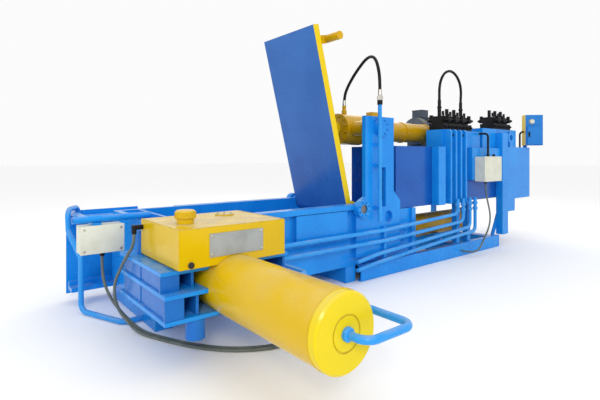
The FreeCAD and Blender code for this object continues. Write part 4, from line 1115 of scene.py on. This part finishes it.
@dataclass
class Hopper:
    """Welds and plugs of the charging box.

    Args:
        wall: outer face of the near wall, where the beads lie.
        half: half the box's width inside.
        panel: left and right edge of the side panel.
        panel_tall: its lower and upper edge.
        seam: where the upright bead stands.
        seam_tall: its lower and upper end.
        rim: from the flange's top down to its bead.
        rim_run: the rim bead's left end, from the wall's, and its right end.
        bead: radius of a weld ripple.
        step: distance between ripples.
        plug: radius of a plug weld.
        first: the first plug's x and z.
        pitch: distance between plugs in x and z.
        plugs: how many along, and how many up.
    """

    wall: float = -0.4155
    half: float = 0.37
    panel: tuple[float, float] = (-1.408, -0.854)
    panel_tall: tuple[float, float] = (0.393, 0.631)
    seam: float = -0.772
    seam_tall: tuple[float, float] = (0.22, 0.62)
    rim: float = 0.045
    rim_run: tuple[float, float] = (0.9, -0.80)
    bead: float = 0.006
    step: float = 0.007
    plug: float = 0.011
    first: tuple[float, float] = (-2.2, 0.26)
    pitch: tuple[float, float] = (0.27, 0.24)
    plugs: tuple[int, int] = (6, 2)

    def dress(self) -> None:
        """Add weld beads outside and plug welds inside."""
        self.beads()
        self.plug_welds()

    def beads(self) -> None:
        """Run beads under the rim, round the side panel and up the wall."""
        low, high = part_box("near_wall")
        out = (0, -1, 0)
        beads = Field("hopper_welds", Repeats.WELD_RIPPLE, self.bead, 0.0, 0.25)
        under = high.z - self.rim
        beads.line((low.x + self.rim_run[0], self.wall, under), (self.rim_run[1], self.wall, under),
                   out, self.step)
        (left, right), (bottom, top) = self.panel, self.panel_tall
        face = self.wall - 0.0005
        corners = ((left, bottom), (right, bottom), (right, top), (left, top))
        for (x, z), (far_x, far_z) in zip(corners, corners[1:] + corners[:1]):
            beads.line((x, face, z), (far_x, face, far_z), out, self.step)
        start, end = self.seam_tall
        beads.line((self.seam, self.wall, start), (self.seam, self.wall, end), out, self.step)
        beads.make(Finish.BLUE, "machine", "blue_paint")

    def plug_welds(self) -> None:
        """Set plug welds on both inner faces."""
        plugs = Field("hopper_plugs", Repeats.SOCKET_BOLT, self.plug, 0.0012)
        along, up = self.plugs
        for side, way in ((self.half, -1), (-self.half, 1)):
            for x in range(along):
                for z in range(up):
                    plugs.at((self.first[0] + self.pitch[0] * x, side,
                              self.first[1] + self.pitch[1] * z), (0, way, 0))
        plugs.make(Finish.BLUE, "machine", "blue_paint")


@dataclass
class LidDetail:
    """Bolts of the lid cylinder and the bearings, and bands on the barrel.

    Args:
        axis: height of the lid cylinder's axis.
        collar: right face of its head, where the second ring of bolts sits.
        trunnion: the trunnions' x.
        hinge: the hinge shaft's x and z.
        cap: face of the trunnion bearings' caps, from the centreline.
        housing: face of the hinge bearings, from the centreline.
        bolt: radius of a head bolt.
        bolts: how many bolts hold each face of the head.
        rings: radius of the circles of bolts on the head's left and right face.
        bearing_bolt: radius of a bearing bolt.
        bearing_bolts: how many hold each bearing.
        bearing_rings: radius of the circles on the trunnions' and the hinge's bearings.
        bands: where the bands start.
        barrel: the barrel's radius, just under the bands.
        band: the bands' outer radius.
    """

    axis: float = 1.3647
    collar: float = -0.2406
    trunnion: float = -0.4306
    hinge: tuple[float, float] = (-0.702, 0.640)
    cap: float = 0.4915
    housing: float = 0.515
    bolt: float = 0.011
    bolts: int = 12
    rings: tuple[float, float] = (0.128, 0.130)
    bearing_bolt: float = 0.007
    bearing_bolts: int = 8
    bearing_rings: tuple[float, float] = (0.063, 0.060)
    bands: tuple[float, ...] = (-0.10, 0.42, 0.84)
    barrel: float = 0.1075
    band: float = 0.116

    def dress(self) -> None:
        """Add bolts on the cylinder head and the bearings, and the bands."""
        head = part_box("lid_barrel")[0].x
        start = 180.0 / self.bolts
        ring = Field("lid_cylinder_bolts", Repeats.HEX_BOLT, self.bolt, 0.016)
        ring.circle((head, 0.0, self.axis), (-1, 0, 0), self.rings[0], self.bolts, start)
        ring.circle((self.collar, 0.0, self.axis), (1, 0, 0), self.rings[1], self.bolts, start)
        # The head bolts take the barrel's darker yellow, which is painted shadow.
        ring.make(Finish.YELLOW_IN_SHADOW, "lid_cylinder", "yellow_paint")
        bearings = Field("bearing_bolts", Repeats.HEX_BOLT, self.bearing_bolt, 0.011)
        hinge_x, hinge_z = self.hinge
        start = 180.0 / self.bearing_bolts
        for side in (-1, 1):
            way = (0, side, 0)
            bearings.circle((self.trunnion, side * self.cap, self.axis), way,
                            self.bearing_rings[0], self.bearing_bolts, start)
            bearings.circle((hinge_x, side * self.housing, hinge_z), way,
                            self.bearing_rings[1], self.bearing_bolts, start)
        bearings.make(Finish.BLUE, "machine", "blue_paint")
        band = Piece("lid_barrel_bands")
        for x in self.bands:
            band.turn((x, 0.0, self.axis), (1, 0, 0), [
                (self.barrel, 0.0), (self.band, 0.002), (self.band, 0.024), (self.barrel, 0.026)])
        # The bands take the same darker yellow, which is painted shadow.
        band.make(Finish.YELLOW_IN_SHADOW, "lid_cylinder", "yellow_paint")


@dataclass
class SideGear:
    """Pipe collar and seam of the side cylinder, and the small pieces of its tank.

    Args:
        barrel: the side cylinder's radius.
        cap: length of its end cap.
        cover: the round cover's place on the tank, from its left near corner.
        screw: radius of a screw.
        screw_in: from the blank plate's edges to its screws.
        bead: radius of a weld ripple.
        step: distance between ripples.
        edge: from the tank's sides to its beads.
        grips: how many ribs the filler cap has.
        grip: radius of the circle that they stand on.
        drain: the drain plug's place, from the tank's lowest corner.
    """

    barrel: float = 0.168
    cap: float = 0.045
    cover: tuple[float, float] = (0.662 * 0.72, 0.553 * 0.72)
    screw: float = 0.006
    screw_in: float = 0.014
    bead: float = 0.0035
    step: float = 0.006
    edge: float = 0.004
    grips: int = 24
    grip: float = 0.0555
    drain: Point = (0.06, -0.0121, 0.024)

    def dress(self) -> None:
        """Add the pipe collar, the seam of the end cap and the tank's small pieces."""
        low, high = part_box("side_cap")
        x, z = (low.x + high.x) / 2, (low.z + high.z) / 2
        collar = Piece("side_collar")
        collar.turn((x, low.y + 0.001, z), (0, -1, 0),
                    [(0.030, 0.0), (0.030, 0.014), (0.025, 0.02), (0.019, 0.022)])
        collar.make(Finish.PIPE, "machine", "pipe_paint")
        seam = Piece("side_seams")
        seam.ring((x, low.y + self.cap, z), (0, 1, 0), self.barrel, 0.003)
        seam.make(Finish.YELLOW, "machine", "yellow_paint")
        low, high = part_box("prefill_tank")
        self.screws(low, high)
        self.beads(low, high)
        self.filler_grips()
        self.drain_plug(low)

    def screws(self, low: Vector, high: Vector) -> None:
        """Screw down the round cover and the blank plate.

        Args:
            low: the tank's lowest corner.
            high: its highest corner.
        """
        screws = Field("tank_cover_bolts", Repeats.HEX_BOLT, self.screw, 0.008)
        screws.circle((low.x + self.cover[0], low.y + self.cover[1], high.z + 0.008), (0, 0, 1),
                      0.048, 6)
        plate_low, plate_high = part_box("blank_plate")
        for x in (plate_low.x + self.screw_in, plate_high.x - self.screw_in):
            for z in (plate_low.z + self.screw_in, plate_high.z - self.screw_in):
                screws.at((x, plate_low.y, z), (0, -1, 0))
        screws.make(Finish.ZINC, "machine", "plated_steel")

    def beads(self, low: Vector, high: Vector) -> None:
        """Run beads round three edges of the tank's top.

        Args:
            low: the tank's lowest corner.
            high: its highest corner.
        """
        beads = Field("tank_welds", Repeats.WELD_RIPPLE, self.bead, 0.0, 0.2)
        inset, top, up = 0.01, high.z - 0.001, (0, 0, 1)
        for x in (low.x + self.edge, high.x - self.edge):
            beads.line((x, low.y + inset, top), (x, high.y - inset, top), up, self.step)
        beads.line((low.x + inset, low.y + self.edge, top), (high.x - inset, low.y + self.edge, top),
                   up, self.step)
        beads.make(Finish.TANK, "machine", "yellow_paint")

    def filler_grips(self) -> None:
        """Stand ribs round the filler cap."""
        low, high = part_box("filler_cap")
        x, y = (low.x + high.x) / 2, (low.y + high.y) / 2
        grips = Field("filler_grips", Repeats.FIN, 0.006, 0.034)
        for step in range(self.grips):
            angle = 2 * math.pi * step / self.grips
            grips.at((x + self.grip * math.cos(angle), y + self.grip * math.sin(angle),
                      high.z - 0.026), (0, 0, 1))
        grips.make(Finish.YELLOW, "filler", "yellow_paint")

    def drain_plug(self, low: Vector) -> None:
        """Add the drain plug, a collar with a hexagon on it.

        Args:
            low: the tank's lowest corner.
        """
        spot = Vector(low) + Vector(self.drain)
        drain = Piece("drain_plug")
        drain.turn(tuple(spot), (0, -1, 0), [(0.0165, 0.0), (0.0165, 0.006), (0.013, 0.008)])
        drain.turn((spot.x, spot.y - 0.007, spot.z), (0, -1, 0),
                   [(0.011, 0.0), (0.011, 0.011), (0.009, 0.013)], 6)
        drain.make(Finish.IRON, "machine", "black_metal")


@dataclass
class ValveRow:
    """Coils, plugs and screws of a row of valves.

    Args:
        left: first valve's left edge in metres.
        count: how many valves.
        base: top of the plinth in metres.
        plate: the rib thickness that sets the sizes.
        near: the valves' near face.
        far: their far face.
        coil_out: how far a coil's end stands out of the face.
        knob: from the near face to the knob's axis.
        screw_in: from the faces to the screws.
        screw_apart: half the distance between a pair of screws.
        port: from the valve's middle to a port plug.
        fins: how many fins a valve has.
    """

    left: float
    count: int
    base: float
    plate: float = 0.055
    near: float = -0.402
    far: float = -0.2
    coil_out: float = 0.020
    knob: float = 0.055
    screw_in: float = 0.045
    screw_apart: float = 0.025
    port: float = 0.036
    fins: int = 4

    def dress(self, name: str) -> None:
        """Add the row's small pieces.

        Args:
            name: what their names start with.
        """
        coils = Piece(f"{name}_coil_caps")
        plugs = Piece(f"{name}_plugs")
        screws = Field(f"{name}_screws", Repeats.SOCKET_BOLT, 0.006, 0.007)
        fins = Field(f"{name}_fins", Repeats.FIN, 0.05, 0.03)
        for number in range(self.count):
            x = self.left + self.plate * (number * 2.6 + 0.4 + 0.65)
            self.coil_ends(x, coils, plugs)
            self.top_and_ports(x, screws, plugs)
            for step in range(self.fins):
                fins.at((x, self.near + 0.031, self.base + self.plate * 1.5 + 0.012 * step),
                        (0, 1, 0))
        coils.make(Finish.IRON, "machine", "black_metal")
        plugs.make(Finish.BLACK, "machine", "black_metal")
        screws.make(Finish.ZINC, "machine", "plated_steel")
        fins.make(Finish.IRON, "machine", "black_metal")

    def coil_ends(self, x: float, coils: Piece, plugs: Piece) -> None:
        """Add a valve's coil caps and the plugs of their wires.

        Args:
            x: the valve's middle.
            coils: the piece that takes the caps.
            plugs: the piece that takes the wire plugs.
        """
        high = self.base + self.plate * 2.0
        cap = [(0.021, 0.0), (0.021, 0.012), (0.014, 0.016), (0.014, 0.03), (0.010, 0.033)]
        half, deep, low, top = 0.015, 0.034, 0.022, 0.062
        for y, way in ((self.near - self.coil_out, -1), (self.far + self.coil_out, 1)):
            coils.turn((x, y - way * 0.002, high), (0, way, 0), cap, 24)
            inner = y - way * deep
            plugs.block((x - half, min(y, inner), high + low),
                        (x + half, max(y, inner), high + top), 0.004)

    def top_and_ports(self, x: float, screws: Field, plugs: Piece) -> None:
        """Add a valve's screws, its knob and the plugs of its two ports.

        Args:
            x: the valve's middle.
            screws: the field that takes the screws.
            plugs: the piece that takes the knob and the port plugs.
        """
        top = self.base + self.plate * 2.8
        for side in (-self.screw_apart, self.screw_apart):
            for y in (self.near + self.screw_in, self.far - self.screw_in):
                screws.at((x + side, y, top), (0, 0, 1))
        axis = self.near + self.knob
        plugs.drum((x, axis, top - 0.002), (x, axis, top + 0.055), 0.014, 0.003, 24)
        low = self.base + self.plate * 2.0 - 0.075
        for side in (-self.port, self.port):
            port = x + side
            plugs.drum((port, self.near + 0.014, low), (port, self.near - 0.014, low),
                       0.017, 0.002, 6)
            plugs.drum((port, self.near - 0.012, low), (port, self.near - 0.026, low),
                       0.010, 0.002, 16)


@dataclass
class MotorSet:
    """Fins and box lid of the motor.

    Args:
        count: how many fins.
        axis: the motor axis's y and z.
        middle: x of the fins' middle.
        reach: from the axis to a fin's middle.
        fin: length, thickness and height of a fin.
        lid: left and right edge of the terminal box's lid.
        lid_half: half the lid's width.
    """

    count: int = 28
    axis: tuple[float, float] = (0.4, 1.427)
    middle: float = 1.50
    reach: float = 0.192
    fin: Point = (0.40, 0.004, 0.018)
    lid: tuple[float, float] = (1.286, 1.434)
    lid_half: float = 0.079

    def dress(self) -> None:
        """Add cooling fins and the terminal box's lid."""
        y, z = self.axis
        centre = Matrix.Translation((self.middle, y, z))
        shape = Matrix.Translation((0, 0, self.reach)) @ Matrix.Diagonal((*self.fin, 1.0))
        fins = Piece("motor_fins")
        for step in range(self.count):
            turn = Matrix.Rotation(2 * math.pi * step / self.count, 4, "X")
            part = bmesh.new()
            bmesh.ops.create_cube(part, size=1.0, matrix=centre @ turn @ shape)
            fins.take(part)
        fins.make(Finish.MOTOR, "machine", "blue_paint")
        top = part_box("motor")[1].z
        left, right = self.lid
        lid = Piece("motor_box_lid")
        lid.block((left, y - self.lid_half, top - 0.004), (right, y + self.lid_half, top + 0.006),
                  0.003)
        lid.make(Finish.MOTOR, "machine", "blue_paint")


@dataclass
class ControlGear:
    """Lids, screws, hinges and handle of the boxes.

    Args:
        over: how far a lid stands over its box's edges.
        lid: thickness of a lid.
        screw_in: from a box's edges to its lid's screws.
        stand: the cabinet's x and y.
        angle: how far the cabinet is turned, in degrees.
        face: front of the cabinet's door, in its own frame.
        hinge: x of the hinges, in its own frame.
        hinge_in: from the door's ends to a hinge's middle.
        hinge_half: half a hinge's length.
        grip: left and right edge of the handle's plate, in the cabinet's frame.
        grip_tall: its lower and upper end.
        lever_in: from the plate's edges to the lever's, across and up.
        button: place of the button's collar, in the cabinet's frame.
    """

    over: float = 0.003
    lid: float = 0.014
    screw_in: float = 0.018
    stand: tuple[float, float] = (2.66, -0.47)
    angle: float = -45.0
    face: float = -0.0805
    hinge: float = 0.1065
    hinge_in: float = 0.04
    hinge_half: float = 0.02
    grip: tuple[float, float] = (-0.080, -0.062)
    grip_tall: tuple[float, float] = (1.36, 1.43)
    lever_in: tuple[float, float] = (0.003, 0.025)
    button: Point = (-0.0333, -0.0625, 1.567)

    def box_lid(self, node: str) -> None:
        """Add a junction box's lid and screws.

        Args:
            node: the CAD node of the box.
        """
        low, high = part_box(node)
        lid = Piece(f"{node}_lid")
        lid.block((low.x - self.over, low.y - self.lid, low.z - self.over),
                  (high.x + self.over, low.y + 0.001, high.z + self.over), 0.004)
        lid.make(Finish.CREAM, "machine", "cream_plastic")
        screws = Field(f"{node}_screws", Repeats.SOCKET_BOLT, 0.007, 0.004)
        for x in (low.x + self.screw_in, high.x - self.screw_in):
            for z in (low.z + self.screw_in, high.z - self.screw_in):
                screws.at((x, low.y - self.lid, z), (0, -1, 0))
        screws.make(Finish.ZINC, "machine", "plated_steel")

    def dress(self) -> None:
        """Dress both junction boxes and the cabinet."""
        self.box_lid("left_box")
        self.box_lid("right_box")
        self.cabinet()

    def cabinet(self) -> None:
        """Add the door's handle and hinges and the button's collar, drawn in the cabinet's frame."""
        low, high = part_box("control_door")
        turn = Matrix.Rotation(math.radians(self.angle), 4, "Z")
        stand = Matrix.Translation((*self.stand, 0.0)) @ turn
        (left, right), (bottom, top) = self.grip, self.grip_tall
        across, up = self.lever_in
        handle = Piece("door_handle")
        handle.block((left, self.face - 0.010, bottom), (right, self.face + 0.001, top), 0.003)
        handle.block((left + across, self.face - 0.024, bottom + up),
                     (right - across, self.face - 0.008, top - up), 0.003)
        handle.shift(stand).make(Finish.BLACK, "cabinet_door", "black_metal")
        hinges = Piece("door_hinges")
        y = self.face + 0.012
        for z in (low.z + self.hinge_in, high.z - self.hinge_in):
            hinges.drum((self.hinge, y, z - self.hinge_half), (self.hinge, y, z + self.hinge_half),
                        0.0035, 0.001, 20)
        hinges.shift(stand).make(Finish.ZINC, "machine", "plated_steel")
        collar = Piece("button_collar")
        collar.ring(self.button, (0, -1, 0), 0.033, 0.004, 32)
        collar.shift(stand).make(Finish.PLATE, "machine", "plated_steel")


@dataclass
class Pipework:
    """Nuts on the risers, crimped ends on the hoses and plugs in the rib plates' eyes.

    Args:
        risers: x of the risers.
        riser_y: y of the risers.
        nuts: heights of the two nuts on each.
        nut: length of a nut.
        nut_radius: half of its width over the corners.
        valve_ends: x of the valve hose's two ends.
        valve_y: their y.
        valve_top: their height.
        post: where the lid hose meets the post pipe.
        nut_under: height where the nut below it starts.
        port: where the lid hose meets the lid cylinder.
        crimp: outline of a crimped end, as radius and height.
        eyes: left face of each rib plate that has an eye.
        eye: the eyes' y and z.
    """

    risers: tuple[float, ...] = (0.772, 0.882, 1.022, 1.132)
    riser_y: float = -0.503
    nuts: tuple[float, float] = (0.56, 0.50)
    nut: float = 0.032
    nut_radius: float = 0.026
    valve_ends: tuple[float, float] = (0.73775, 1.16675)
    valve_y: float = -0.302
    valve_top: float = 1.672
    post: Point = (-0.498, -0.5113, 1.640)
    nut_under: float = 1.598
    port: Point = (-0.440, 0.0, 1.597)
    crimp: tuple[tuple[float, float], ...] = (
        (0.0150, 0.0), (0.0185, 0.002), (0.0185, 0.05), (0.0165, 0.056))
    eyes: tuple[float, float] = (0.769, 0.967)
    eye: tuple[float, float] = (-0.4465, 1.33)

    def dress(self) -> None:
        """Add nuts, ferrules and plugs."""
        nuts = Piece("pipe_nuts")
        for x in self.risers:
            for z in self.nuts:
                nuts.drum((x, self.riser_y, z), (x, self.riser_y, z + self.nut),
                          self.nut_radius, 0.002, 6)
        nuts.make(Finish.PIPE, "machine", "pipe_paint")
        self.ferrules()
        y, z = self.eye
        plugs = Piece("eye_plugs")
        for x in self.eyes:
            plugs.drum((x - 0.003, y, z), (x + 0.033, y, z), 0.0158, 0.002, 24)
        plugs.make(Finish.BLACK, "machine", "black_metal")

    def ferrules(self) -> None:
        """Crimp the ends of both hoses."""
        up, crimp = (0, 0, 1), list(self.crimp)
        ends = Piece("valve_ferrules")
        for x in self.valve_ends:
            ends.turn((x, self.valve_y, self.valve_top), up, crimp, 24)
        ends.make(Finish.BLACK, "machine", "black_metal")
        post = Piece("post_ferrule")
        post.turn(self.post, up, crimp, 24)
        post.drum((*self.post[:2], self.nut_under), self.post, 0.0275, 0.002, 6)
        post.make(Finish.ZINC, "machine", "plated_steel")
        swing = Piece("port_ferrule")
        swing.turn(self.port, up, crimp, 24)
        swing.make(Finish.ZINC, "lid_cylinder", "plated_steel")


def main() -> None:
    """Make the camera and the cords, then the finishes, the fittings and the light."""
    logging.basicConfig(level=logging.INFO, format="%(message)s")
    studio = Studio()
    studio.camera()
    GROUPS["worn_enamel"] = enamel_group()
    GROUPS["fine_grain"] = grain_group()
    for finish in Finish:
        MATERIALS[finish] = finish.value.build()
    cables = Cables()
    cables.lay()
    cables.lid_hose()
    for kind in Repeats:
        TREES[kind] = RepeatTree(kind)
    Dressing().paint()
    Hopper().dress()
    LidDetail().dress()
    SideGear().dress()
    ValveRow(0.680, 4, 1.390).dress("left_valves")
    ValveRow(1.770, 3, 1.440).dress("right_valves")
    MotorSet().dress()
    ControlGear().dress()
    Pipework().dress()
    studio.light()


if __name__ == "__main__":
    main()
